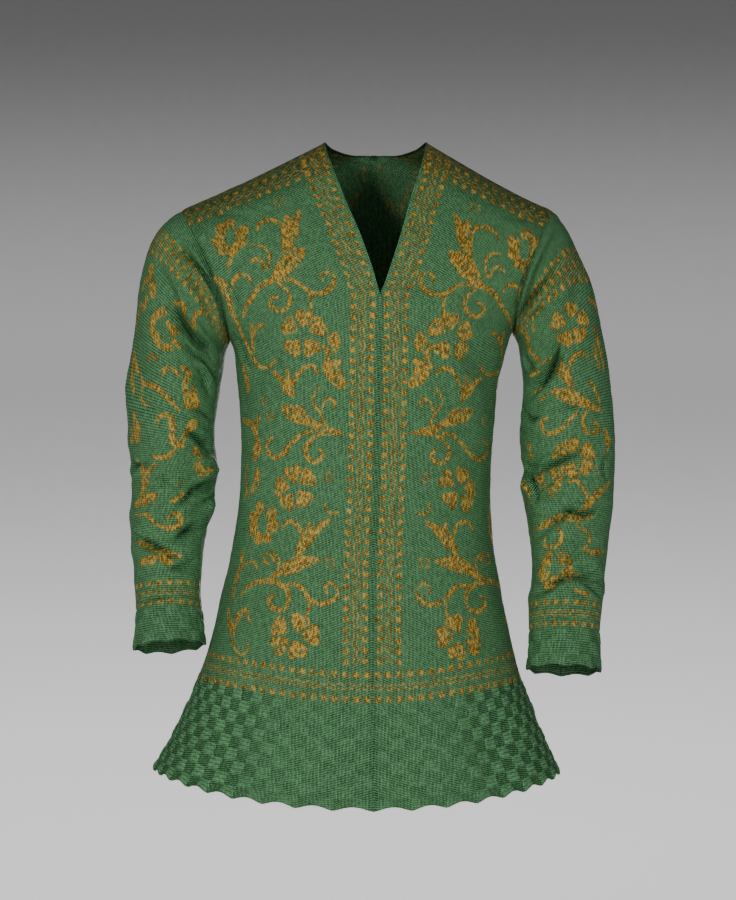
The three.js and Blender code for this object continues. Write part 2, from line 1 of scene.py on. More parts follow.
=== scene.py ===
"""A hip-length jacket of green silk knitted with gilt thread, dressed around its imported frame.

The cloth follows the same surfaces as the solids: the body is a stack of rows from the middle to the
side seam or armhole, and a sleeve is a stack of rings. Sizes are millimetres until a mesh is made.
"""

import logging
import math
from dataclasses import dataclass, field
from enum import Enum

import bpy
import numpy as np
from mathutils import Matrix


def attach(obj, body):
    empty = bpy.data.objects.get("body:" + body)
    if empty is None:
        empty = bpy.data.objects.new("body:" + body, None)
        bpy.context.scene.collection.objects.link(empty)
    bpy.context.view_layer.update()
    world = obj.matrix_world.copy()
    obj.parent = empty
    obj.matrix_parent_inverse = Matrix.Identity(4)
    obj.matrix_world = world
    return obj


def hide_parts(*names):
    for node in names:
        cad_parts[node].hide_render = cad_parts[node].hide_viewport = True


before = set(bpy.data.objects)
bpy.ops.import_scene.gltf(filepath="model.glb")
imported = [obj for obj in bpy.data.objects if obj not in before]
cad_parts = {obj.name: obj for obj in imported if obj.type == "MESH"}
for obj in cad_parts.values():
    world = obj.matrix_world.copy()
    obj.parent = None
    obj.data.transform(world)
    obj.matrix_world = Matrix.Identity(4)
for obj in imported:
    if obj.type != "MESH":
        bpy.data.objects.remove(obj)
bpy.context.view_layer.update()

log = logging.getLogger("jacket")
MM = 0.001
Triple = tuple[float, float, float]
Square = tuple[float, float]
Array = np.ndarray
Pair = tuple[Array, Array]
Socket = bpy.types.NodeSocket
NodeTree = bpy.types.NodeTree
Material = bpy.types.Material


class Side(Enum):
    """The wearer's side, with its direction along X."""

    RIGHT = -1
    LEFT = 1

    @property
    def label(self) -> str:
        """The side's name in a piece's name."""
        return self.name.lower()


class Face(Enum):
    """The face of the body, with its direction along Y."""

    FRONT = -1
    BACK = 1


# ------------------------------------------------------------------ sizes of the jacket


class Table:
    """Sizes in rows, read between the rows on a smooth curve."""

    def __init__(self, columns: str, *rows: tuple[float, ...]) -> None:
        """Keeps the rows.

        Args:
            columns: the columns' names; the rows are in order of the first.
            rows: one tuple for each row.
        """
        data = np.array(rows, float)
        self.key = data[:, 0] * (1 if data[0, 0] < data[-1, 0] else -1)
        self.turned = data[0, 0] > data[-1, 0]
        self.values = dict(zip(columns.split(), data.T))
        self.count = len(rows)

    def read(self, column: str, at: Array | float) -> Array:
        """Reads a column.

        Args:
            column: the column's name.
            at: places along the first column.

        Returns:
            The values there.
        """
        x = np.asarray(at, float) * (-1 if self.turned else 1)
        key, value, last = self.key, self.values[column], self.count - 1
        a = np.clip(np.searchsorted(key, x, side="right") - 1, 0, last - 1)
        b = a + 1
        before, after = np.maximum(a - 1, 0), np.minimum(a + 2, last)
        span = key[b] - key[a]
        t = np.clip((x - key[a]) / span, 0, 1)
        m0 = span * (value[b] - value[before]) / (key[b] - key[before])
        m1 = span * (value[after] - value[a]) / (key[after] - key[a])
        t2, t3 = t * t, t**3
        return (
            (2 * t3 - 3 * t2 + 1) * value[a]
            + (t3 - 2 * t2 + t) * m0
            + (3 * t2 - 2 * t3) * value[b]
            + (t3 - t2) * m1
        )


CLOTH = 2.0  # thickness of the knitted wall
SCALLOP_DEPTH = 4.5
CUFF_SCALLOP_DEPTH = 2.6
BLOCK_RELIEF = 0.65
HEM_BLOCKS = {Side.RIGHT: 20, Side.LEFT: 18}
HEM_BLOCK_ROWS = 9
BASKET_START = 0.77
CUFF_BLOCKS = 16
CUFF_BLOCK_ROWS = 3
CUFF_LENGTH = 43.0
ARMHOLE_STEPS = 12
SECTION_SPACING = 39.0
ARM_RADIUS = 48.0
ARMPIT_MIDDLE_Z = -225.0
HEM_Z = {Face.FRONT: -706.0, Face.BACK: -696.0, Side.RIGHT: -676.0, Side.LEFT: -680.0}
BACK_NECK_STEP = 9
ROUNDNESS = 0.62
RIDGE_START = 0.36
RIDGE_FALL = 0.42
ARMHOLE_INSET = 8.5
ARMHOLE_DIP = 0.8  # the armhole seam is pulled in this far
ARMHOLE_ROLL = 0.4  # and the cloth beside it stands this far out
TROUGH_BANK = 0.4
SEWN_STRIP = 11.0  # the cloth turns into the armhole seam over this width
SEAM_ROLL_AT = 9.0
SEAM_ROLL_WIDTH = 4.5
SEAM_DIP_WIDTH = 3.2
EDGE_WIDTH = 1.4  # a cut edge is rounded over this width
EDGE_DROP = 0.5  # and by this depth
# painted shade along the armhole seam, counted like millimetres of fold depth
ARMPIT_SHADE = 6.0
THIN_STRIP = 5.0  # the wall thins towards a seam over this width
NO_FIGURE = 60.0  # millimetres, farther than any figure is measured
NO_BORDER = 400.0  # the place across the front border where there is none

SIDE_SEAM = {
    Side.RIGHT: Table(
        "z out",
        (-205, 160), (-215, 155.5), (-225, 151.5), (-240, 149), (-257, 147.5), (-290, 145),
        (-340, 143.5), (-386, 146), (-440, 153.5), (-500, 167), (-560, 183), (-600, 199), (-640, 218),
        (-680, 241), (-710, 258),
    ),
    Side.LEFT: Table(
        "z out",
        (-196, 155), (-206, 149.6), (-215, 145.5), (-231, 140), (-257, 134.5), (-300, 129.5),
        (-340, 126), (-386, 126), (-440, 130), (-500, 140), (-560, 152.5), (-600, 165.5), (-640, 182),
        (-680, 201), (-710, 215),
    ),
}

MIDDLE = Table(
    "z front back opening",
    (-205, 111.5, 103, 5.5), (-225, 110, 100, 5), (-257, 106.5, 95, 4.5), (-290, 102, 89, 4),
    (-340, 98, 84, 3), (-386, 99.5, 88, 1.5), (-440, 105, 99, -1), (-500, 112, 113, -2),
    (-560, 119, 126, -2), (-600, 125, 134, -1.5), (-640, 131, 141, -1), (-680, 137, 148, -0.5),
    (-710, 142, 153, -0.5),
)

V_NECK = Table(
    "step z y right left",
    (-1, -251, -107.5, 4.5, 4.5), (0, -225, -110, 5, 5), (1, -199, -110.5, 5.6, 5.6),
    (2, -172, -109, 6, 6), (3, -158, -105.5, 2.7, 11), (4, -140, -102, -2.5, 17),
    (5, -120, -97, -9.5, 23.5), (6, -100, -90, -17, 29.5), (7, -80, -81.5, -25.5, 35),
    (8, -60, -71, -33.5, 40.5), (9, -40, -59, -41, 47), (10, -22, -45, -47.5, 52),
    (11, -8, -27, -52, 55), (12, 0, 0, -53, 56),
)

BACK_MIDDLE = Table(
    "step z y right left",
    (-1, -247, 96.5, 0, 0), (0, -225, 100, 0, 0), (1, -203, 102, 0, 0), (2, -181, 103.5, 0, 0),
    (3, -158, 104, 0, 0), (4, -135, 102.5, 0, 0), (5, -111, 99, 0, 0), (6, -86, 92.5, 0, 0),
    (7, -61, 83, 0, 0), (8, -36, 70, 0, 0), (9, -12, 54, 0, 0), (10, -9.5, 48, -25, 26),
    (11, -5, 29, -44, 46), (12, 0, 0, -53, 56),
)

ARRIVAL = Table(
    "step reach turn start",
    (-1, 68, 3, 0.62), (0, 68, 0, 0.62), (1, 61, 7, 0.615), (2, 52, 18, 0.595), (3, 44, 30, 0.565),
    (4, 39, 41, 0.52), (5, 36, 49, 0.48), (6, 35, 56, 0.44), (7, 36, 62, 0.41), (8, 38, 68, 0.38),
    (9, 41, 74, 0.36), (10, 44, 80, 0.34), (11, 47, 86, 0.33), (12, 48, 90, 0.33),
)

SLEEVE = {
    Side.RIGHT: Table(
        "number outX outZ inX inZ midY deep tip",
        (0, -208.5, -74.5, -155.5, -215, 0, 62, 0), (1, -236, -100.5, -160.5, -229, 1, 61, 0),
        (2, -252.5, -147, -163, -246, 3, 58, 0), (3, -258.5, -203, -167, -268, 6, 55, 0),
        (4, -268, -261.5, -171, -298, 10, 52, 0), (5, -266, -317.5, -173.5, -331, 12, 49, 1),
        (6, -262.5, -356, -170.5, -361, 9, 47, 4), (7, -263, -397, -176, -396, 0, 44, 8),
        (8, -260, -437, -182.5, -434, -11, 40, 11), (9, -257, -475, -186, -472, -21, 38, 13),
        (10, -255, -510, -183.5, -507, -30, 37, 14), (11, -257, -547, -179.5, -541, -40, 39, 14),
    ),
    Side.LEFT: Table(
        "number outX outZ inX inZ midY deep tip",
        (0, 194.5, -75.5, 149.6, -206, 0, 60, 0), (1, 212, -101.5, 155.8, -220, 1, 59, 0),
        (2, 233, -149, 158.6, -238, 3, 57, 0), (3, 247, -204, 161.8, -260, 7, 54, 0),
        (4, 256, -258, 159.8, -290, 10, 52, 0), (5, 260.5, -306, 158.5, -321, 12, 50, 1),
        (6, 260.8, -346, 161.5, -352, 10, 48, 3), (7, 258.7, -385, 162.5, -386, 3, 46, 7),
        (8, 253.8, -421, 167, -420, -6, 42, 10), (9, 249, -457, 169.5, -456, -16, 40, 12),
        (10, 244.6, -494.5, 166.5, -493, -26, 38, 13), (11, 241, -532, 165.5, -530, -36, 37.5, 13),
        (12, 241.5, -570, 161.5, -567, -46, 39, 13),
    ),
}


@dataclass(frozen=True)
class Trough:
    """A crease pressed into the cloth.

    On a sleeve, at is the section and around the angle from the outer side, by way of the front. On the
    body, at is the height and around the distance from the middle, to the wearer's left.
    """

    at: float
    around: float
    long: float
    wide: float
    deep: float
    lean: float

    def depth(self, across: Array, up: Array) -> Array:
        """How far the crease lowers the cloth.

        Args:
            across: millimetres round the piece from the crease's middle.
            up: millimetres up from its middle.

        Returns:
            The depth at each place.
        """
        lean = math.radians(self.lean)
        run = across * math.cos(lean) + up * math.sin(lean)
        off = np.clip((up * math.cos(lean) - across * math.sin(lean)) / self.wide, -5, 5)
        end = np.minimum(np.abs(run) / (self.long / 2), 1)
        bank = hump(np.abs(off) - 1.9, 1.0)
        return self.deep * np.cos(end * math.pi / 2) ** 2 * (hump(off, 1.0) - TROUGH_BANK * bank)


def troughs(*rows: tuple[float, ...]) -> tuple[Trough, ...]:
    """Creases from rows of at, around, long, wide, deep and lean."""
    return tuple(Trough(*row) for row in rows)


# The large creases, which the solids have too.
SLEEVE_TROUGHS = {
    Side.RIGHT: troughs(
        (0.65, 88, 105, 9, 7, 0), (2.0, 104, 90, 10, 8, -18), (3.0, 122, 70, 10, 6, -22),
        (3.6, 40, 70, 13, 4, -30), (5.1, 150, 70, 11, 6, -14), (6.3, 160, 60, 9, 7, 22),
        (6.6, 108, 75, 10, 6, 36), (7.7, 128, 60, 10, 5, 22), (8.05, 62, 75, 10, 6, -13),
        (9.3, 95, 60, 8, 3, 8), (1.9, 245, 95, 12, 7, 14), (4.6, 232, 80, 13, 5, -20),
        (6.2, 285, 75, 12, 5, 16), (7.9, 245, 70, 11, 5, -14),
    ),
    Side.LEFT: troughs(
        (0.6, 82, 105, 9, 7, -4), (3.2, 118, 100, 10, 8, 27), (2.1, 60, 60, 12, 4, 12),
        (5.0, 60, 80, 13, 4, 24), (6.1, 160, 70, 9, 7, 8), (6.9, 128, 60, 10, 5, -30),
        (7.6, 110, 80, 10, 6, 26), (8.5, 70, 60, 10, 4, 20), (9.5, 112, 55, 9, 6, 28),
        (9.45, 56, 65, 9, 6, -24), (10.6, 90, 60, 8, 3, -6), (1.9, 245, 95, 12, 7, -14),
        (4.8, 238, 80, 13, 5, 18), (6.7, 288, 75, 12, 5, -16), (8.6, 245, 70, 11, 5, 14),
    ),
}
BODY_TROUGHS = {
    Face.FRONT: troughs(
        (-250, -118, 80, 12, 3, 58), (-245, 112, 80, 12, 3, -58), (-330, 96, 120, 16, 2.5, -72),
        (-640, -150, 120, 25, 4.5, -80), (-645, 128, 115, 24, 4.5, 80),
    ),
    Face.BACK: troughs(
        (-240, -112, 90, 13, 4, 55), (-236, 106, 90, 13, 4, -55), (-335, -40, 110, 15, 3.5, 12),
        (-362, 38, 100, 15, 3, -10), (-610, -95, 190, 30, 6.5, -84), (-620, 0, 180, 28, 5.5, 90),
        (-610, 90, 190, 30, 6.5, 84),
    ),
}

# Smaller creases between them.
SLEEVE_CREASES = {
    Side.RIGHT: troughs(
        (1.25, 96, 70, 4.5, 1.6, -10), (2.6, 112, 60, 5, 2.2, -24), (1.5, 62, 46, 5, 1.2, -22),
        (4.3, 138, 52, 5.5, 1.8, -24), (5.7, 152, 46, 5, 2.6, 8), (6.9, 150, 42, 4.5, 2.4, 26),
        (7.2, 92, 50, 5, 2.2, 26), (8.45, 88, 54, 4.5, 1.8, -6), (8.8, 128, 40, 4.5, 1.8, 16),
        (9.0, 52, 44, 5, 1.6, -16), (2.9, 250, 70, 6, 2.2, 10), (5.3, 268, 56, 6, 1.8, -14),
        (7.0, 255, 60, 5, 2.2, 20), (8.6, 290, 46, 5, 1.6, -10),
    ),
    Side.LEFT: troughs(
        (1.2, 92, 66, 4.5, 1.6, 8), (2.6, 106, 62, 5, 2.0, 24), (3.9, 124, 56, 5, 2.2, 30),
        (4.6, 96, 40, 5, 1.2, 20), (5.6, 150, 46, 5, 2.4, -6), (6.5, 146, 40, 4.5, 2.4, -14),
        (7.25, 86, 46, 4.5, 1.8, 20), (8.1, 128, 50, 4.5, 2.4, 22), (9.0, 96, 50, 4.5, 2.2, 12),
        (9.95, 80, 54, 4, 2.0, -14), (10.25, 120, 40, 4, 1.6, 14), (2.9, 250, 70, 6, 2.2, -10),
        (5.7, 268, 56, 6, 1.8, 14), (7.6, 255, 60, 5, 2.2, -20), (9.6, 290, 46, 5, 1.6, 10),
    ),
}
BODY_CREASES = {
    Face.FRONT: troughs(
        (-206, -96, 70, 6, 1.3, 52), (-268, -104, 70, 7, 1.1, 64), (-210, 96, 70, 6, 1.3, -52),
        (-270, 100, 66, 7, 1.1, -64), (-345, -110, 100, 9, 0.9, 76), (-560, -60, 120, 14, 0.8, -86),
        (-575, 66, 110, 14, 0.8, 84),
    ),
    Face.BACK: troughs(
        (-215, -90, 80, 7, 1.6, 50), (-212, 86, 80, 7, 1.6, -50), (-305, 20, 120, 9, 1.6, -6),
        (-386, -30, 120, 9, 1.8, 8), (-410, 50, 90, 8, 1.2, -12),
    ),
}


def hump(x: Array, width: float) -> Array:
    """A soft hump, 1 at nought, that falls away over a width."""
    return np.exp(-((x / width) ** 2))


def ramp(low: float, high: float, x: Array | float) -> Array:
    """A smooth step from 0 at low to 1 at high."""
    t = np.clip((np.asarray(x, float) - low) / (high - low), 0, 1)
    return t * t * (3 - 2 * t)


def sleeve_points(side: Side, section: Array, turn: Array) -> Array:
    """Points of a sleeve's outer face.

    Args:
        side: the wearer's side.
        section: sections along the arm, any shape.
        turn: degrees from the outer side, by the front, of the same shape.

    Returns:
        The points, with one more axis.
    """
    at = {name: SLEEVE[side].read(name, section) for name in SLEEVE[side].values if name != "number"}
    angle, tip = np.radians(turn), np.radians(at["tip"])
    inset = ARMHOLE_INSET * (1 - ramp(0, 2.5, section)) * np.sin(angle) ** 2
    half = np.cos(angle) / 2
    x = (at["outX"] + at["inX"]) / 2 + (at["outX"] - at["inX"]) * half - side.value * inset
    y = at["midY"] - at["deep"] * np.cos(tip) * np.sin(angle)
    z = (at["outZ"] + at["inZ"]) / 2 + (at["outZ"] - at["inZ"]) * half
    return np.stack([x, y, z + at["deep"] * np.sin(tip) * np.sin(angle)], -1)


def body_points(side: Side, face: Face, level: Array, u: Array) -> Array:
    """Points of half the body's outer face.

    Args:
        side: the wearer's side.
        face: front or back.
        level: 0 to 12 up the armhole, and 0 to -1 from the armpit down to the hem.
        u: 0 at the middle and 1 at the side, as a row.

    Returns:
        The points as levels by columns by 3.
    """
    out, facing = side.value, face.value
    up = np.maximum(level, 0)
    neck = V_NECK if face is Face.FRONT else BACK_MIDDLE
    start = np.stack([neck.read(side.label, up), neck.read("y", up), neck.read("z", up)], -1)
    end = sleeve_points(side, np.zeros_like(up), 180 + facing * up * 180 / ARMHOLE_STEPS)
    reach, heading = ARRIVAL.read("reach", up), np.radians(ARRIVAL.read("turn", up))
    first = start.copy()
    first[:, 0] += out * ARRIVAL.read("start", up) * np.abs(end[:, 0] - start[:, 0])
    first[:, 2] += (end[:, 2] - start[:, 2]) * RIDGE_START
    second = end.copy()
    second[:, 0] -= out * reach * np.sin(heading)
    second[:, 1] += facing * reach * np.cos(heading)
    second[:, 2] += reach * np.sin(heading) * RIDGE_FALL * ramp(0, ARMHOLE_STEPS, up)

    down = np.maximum(-level, 0)
    armpit = SLEEVE[side].values["inZ"][0]
    side_z = armpit + (HEM_Z[side] - armpit) * down
    z = ARMPIT_MIDDLE_Z + (HEM_Z[face] - ARMPIT_MIDDLE_Z) * down
    opening = MIDDLE.read("opening", z) if face is Face.FRONT else 0 * z
    depth = facing * MIDDLE.read("front" if face is Face.FRONT else "back", z)
    low_start = np.stack([opening, depth, z], -1)
    low_end = np.stack([out * SIDE_SEAM[side].read("out", side_z), 0 * z, side_z], -1)
    low_first = low_start.copy()
    low_first[:, 0] += out * np.abs(low_end[:, 0] - opening) * ROUNDNESS
    low_second = low_end.copy()
    low_second[:, 1] = depth * ROUNDNESS

    above = (level >= 0)[:, None]
    knots = [
        np.where(above, high, low)[:, None, :]
        for high, low in ((start, low_start), (first, low_first), (second, low_second), (end, low_end))
    ]
    t = u[None, :, None]
    return (
        (1 - t) ** 3 * knots[0]
        + 3 * (1 - t) ** 2 * t * knots[1]
        + 3 * (1 - t) * t**2 * knots[2]
        + t**3 * knots[3]
    )


def armhole_normals(side: Side, face: Face, level: Array) -> Array:
    """Directions between the body's and the sleeve's normals where they are sewn together.

    Args:
        side: the wearer's side.
        face: front or back.
        level: levels up the armhole.

    Returns:
        One unit direction for each level.
    """
    out, facing = side.value, face.value
    step = np.array([-0.02, 0.0, 0.02])
    levels = np.clip(level, 0.05, ARMHOLE_STEPS - 0.05)
    edge = np.stack([body_points(side, face, levels + s, np.array([0.97, 1.0])) for s in step])
    along = edge[2, :, 1] - edge[0, :, 1]
    across = edge[1, :, 1] - edge[1, :, 0]
    turn = 180 + facing * levels * 180 / ARMHOLE_STEPS
    arm = sleeve_points(side, 0 * turn + 0.1, turn) - sleeve_points(side, 0 * turn, turn)
    total = np.zeros_like(along)
    for normal in (np.cross(across, along) * -out * facing, np.cross(along * facing, arm) * out):
        total += normal / np.linalg.norm(normal, axis=1, keepdims=True)
    return total / np.linalg.norm(total, axis=1, keepdims=True)


def toward(normals: Array, share: Array, target: Array) -> Array:
    """Normals turned toward others by a share of the way."""
    mixed = normals * (1 - share[..., None]) + target * share[..., None]
    return mixed / np.linalg.norm(mixed, axis=-1, keepdims=True)


# ------------------------------------------------------------------ the brocaded pattern


@dataclass(frozen=True)
class Stem:
    """A stroke of gilt thread through points of the chart, with its half-width along the way."""

    points: tuple[Square, ...]
    girth: tuple[float, ...] = (1.7,)


@dataclass(frozen=True)
class Blossom:
    """A flower of heart-shaped petals round an open middle."""

    petals: tuple[Square, ...]
    centre: Square
    size: float = 8.0


@dataclass(frozen=True)
class Rosette:
    """A ring of small dots."""

    centre: Square
    radius: float = 4.6
    dot: float = 1.5
    count: int = 6


@dataclass(frozen=True)
class RingFlower:
    """A lobed flower open at its top, with a hollow heart."""

    centre: Square
    radius: float = 15.0
    open_to: float = 60.0


Figure = Stem | Blossom | Rosette | RingFlower
THICK = (1.2, 2.1, 2.2, 1.9, 1.4)
THIN = (1.2, 1.5, 1.2)

# The chart counts squares across and down, as the jacket looks from straight in front.
CHART_SQUARE = 1.08
CHART_MIDDLE = 374.0  # the column over the garment's origin
CHART_TOP = 142.0  # the row at the garment's origin
VIEW_DISTANCE = 3000.0
VIEW_COLUMN = 368  # the column and row straight ahead of the eye
VIEW_ROW = 450
MIRROR_COLUMN = 377.3  # the fronts' figures mirror about this column
FULLNESS = 1.2  # the strokes' width against the chart's
FOLD_FULLNESS = 1.8  # the folds' height against the chart's
FOLD_RIDGE_AT = 1.9  # a fold's ridge lies this many widths from its valley

FRONT_CHART: tuple[Figure, ...] = (
    # upper branch
    RingFlower((230, 237)), Stem(((231, 258), (229, 264), (227, 268)), (2.2, 1.2)), Rosette((279, 201)),
    Stem(((286, 216), (288, 222), (290, 231), (288, 241), (284, 250)), (1.8, 4.2, 7.6, 5.2, 2.0)),
    Stem(((299, 212), (296, 219), (291, 228)), (2.2, 3.2, 5.5)),
    Stem(((283, 230), (280, 224), (273, 220), (265, 221), (259, 225), (257, 230)), THICK),
    Stem(((273, 279), (281, 270), (288, 262), (295, 252)), (2.0, 6.0, 9.0, 5.0)),
    Stem(((290, 264), (298, 257), (303, 250)), (5.5, 5.0, 2.4)),
    Stem(((243, 318), (246, 308), (253, 296), (260, 286), (272, 281), (285, 279), (296, 282),
         (307, 290)), (1.3, 2.0, 2.3, 2.6, 2.4, 2.0, 1.7, 1.7)),
    Stem(((306, 290), (316, 294), (326, 292), (333, 286), (334, 278), (329, 273), (321, 275),
         (323, 281)), (1.7, 2.2, 2.4, 2.2, 1.8, 1.5, 1.2, 1.1)),
    Stem(((278, 283), (286, 290), (290, 299), (287, 308), (279, 311), (271, 306), (271, 299),
         (277, 297)), THICK),
    Stem(((254, 245), (262, 246), (268, 253), (269, 262), (266, 271)), THIN),
    Stem(((251, 262), (256, 259), (262, 262), (264, 268)), (1.6, 1.8, 1.2)),
    Stem(((216, 280), (224, 284), (222, 291)), (3.4, 3.2, 2.0)),
    Stem(((223, 288), (228, 298), (232, 312), (238, 326), (247, 345), (254, 360), (262, 368), (270, 367),
         (275, 360)), (2.2, 2.6, 3.2, 2.4, 2.2, 2.4, 2.0, 1.6, 1.2)),
    Stem(((231, 290), (234, 280), (241, 275), (248, 277), (251, 283)), (1.4, 2.2, 2.0, 1.5, 1.2)),
    Stem(((251, 325), (252, 334), (253, 345), (252, 356)), (2.2, 2.6, 2.2, 1.6)),
    Stem(((263, 324), (257, 328), (253, 336)), (1.6, 2.0, 2.0)),
    Stem(((309, 293), (311, 302), (310, 311), (307, 316)), THIN),
    Blossom(((304, 318), (317, 327), (311, 347), (293, 347), (290, 327)), (304, 335)),
    Stem(((335, 334), (334, 341), (335, 349)), (2.2, 5.6, 3.0)),
    Stem(((316, 349), (323, 346), (328, 353), (326, 364)), (1.3, 1.8, 2.4, 2.2)),
    Stem(((325, 366), (332, 372), (337, 379)), (2.8, 6.8, 6.0)),
    Stem(((334, 366), (339, 362)), (4.4, 2.6)), Stem(((340, 383), (343, 386)), (5.0, 3.2)),
    # middle branch
    Stem(((274, 373), (280, 379), (287, 387), (293, 397)), (2.0, 2.8, 5.4, 2.0)),
    Stem(((287, 371), (289, 380), (290, 388)), (1.6, 2.2, 4.4)),
    Stem(((294, 385), (298, 374), (305, 367), (313, 367), (318, 373)), THICK),
    Stem(((284, 409), (290, 412), (299, 416), (309, 422), (320, 427)), (3.0, 6.4, 6.6, 3.6, 2.6)),
    Stem(((297, 407), (301, 413)), (2.2, 4.2)),
    Stem(((313, 425), (324, 430), (333, 432), (342, 433)), (2.6, 4.6, 3.0, 1.2)),
    Stem(((327, 433), (315, 437), (307, 445), (306, 454), (312, 462), (320, 460), (323, 454),
         (319, 450)), THICK),
    Stem(((313, 432), (302, 434), (292, 443), (284, 453), (275, 458), (268, 452), (267, 444),
         (272, 438)), THICK),
    Stem(((319, 387), (313, 397), (315, 407), (320, 413), (325, 426)), THIN),
    Stem(((322, 411), (324, 403), (330, 399), (335, 403), (333, 407)), THIN),
    Rosette((263, 400), 3.6, 1.4), Rosette((270, 416), 4.2, 1.6), Rosette((329, 477), 4.2, 1.4),
    Blossom(((293, 475), (307, 479), (303, 498), (287, 503), (281, 487)), (296, 488), 7.8),
    Stem(((325, 504), (327, 511), (333, 514), (338, 512)), THIN),
    Stem(((243, 366), (246, 378), (248, 391)), (2.2, 3.6, 2.4)),
    Stem(((243, 420), (250, 424), (254, 428), (256, 436)), (2.2, 3.4, 4.6, 2.0)),
    Stem(((259, 419), (256, 425)), (2.2, 3.2)),
    Stem(((258, 440), (257, 451), (254, 460)), (2.0, 5.4, 2.4)),
    Stem(((249, 462), (246, 476), (247, 490), (245, 499)), (1.6, 2.4, 2.2, 1.4)),
    Stem(((257, 470), (257, 482), (250, 494)), (2.4, 3.8, 1.8)),
    # lower branch
    RingFlower((262, 523), 15.5, 75),
    Stem(((281, 530), (286, 523), (293, 522), (299, 529), (302, 540), (301, 548)), THICK),
    Stem(((329, 521), (319, 528), (309, 537), (301, 548), (298, 557)), (1.8, 3.2, 5.6, 4.0, 1.6)),
    Stem(((309, 523), (309, 531)), (1.6, 2.6)),
    Stem(((271, 578), (283, 571), (295, 565), (305, 561)), (1.6, 4.6, 7.0, 4.4)),
    Stem(((297, 567), (308, 562), (317, 561)), (4.0, 4.6, 2.2)), Rosette((330, 563), 4.6, 2.2, 4),
    Stem(((274, 563), (272, 556), (266, 555), (264, 561), (269, 564)), THIN),
    Stem(((273, 553), (279, 560), (277, 570)), THIN),
    Stem(((240, 596), (248, 588), (257, 583), (268, 581), (279, 584), (287, 591), (289, 600)),
         (1.4, 2.4, 2.4, 2.8, 2.4, 2.2, 2.2)),
    Stem(((289, 600), (285, 609), (277, 611), (270, 606), (269, 599), (274, 596)), THICK),
    Stem(((283, 586), (294, 585), (303, 590), (308, 598), (318, 604), (328, 603), (336, 598),
         (338, 589)), (1.6, 2.0, 2.3, 2.2, 2.2, 2.2, 2.0, 1.4)),
    Stem(((327, 594), (325, 587), (331, 583), (335, 587)), THIN),
    Stem(((307, 596), (309, 606), (307, 616)), THIN),
    Blossom(((299, 623), (311, 636), (297, 650), (279, 646), (280, 628)), (294, 636), 8.4),
    Stem(((242, 553), (241, 566), (237, 577), (234, 588), (233, 600)), (2.2, 2.2, 3.8, 3.4, 1.4)),
    Stem(((241, 570), (247, 563), (254, 562), (257, 570)), THIN),
    Stem(((228, 610), (229, 622), (232, 632), (233, 641)), (2.2, 4.2, 3.8, 1.8)),
    Stem(((245, 610), (239, 616), (235, 628)), (2.6, 3.6, 2.0)),
    Stem(((247, 612), (250, 622)), (1.8, 1.2)),
    Stem(((233, 640), (235, 650), (242, 655), (248, 651), (248, 645)), THIN),
)

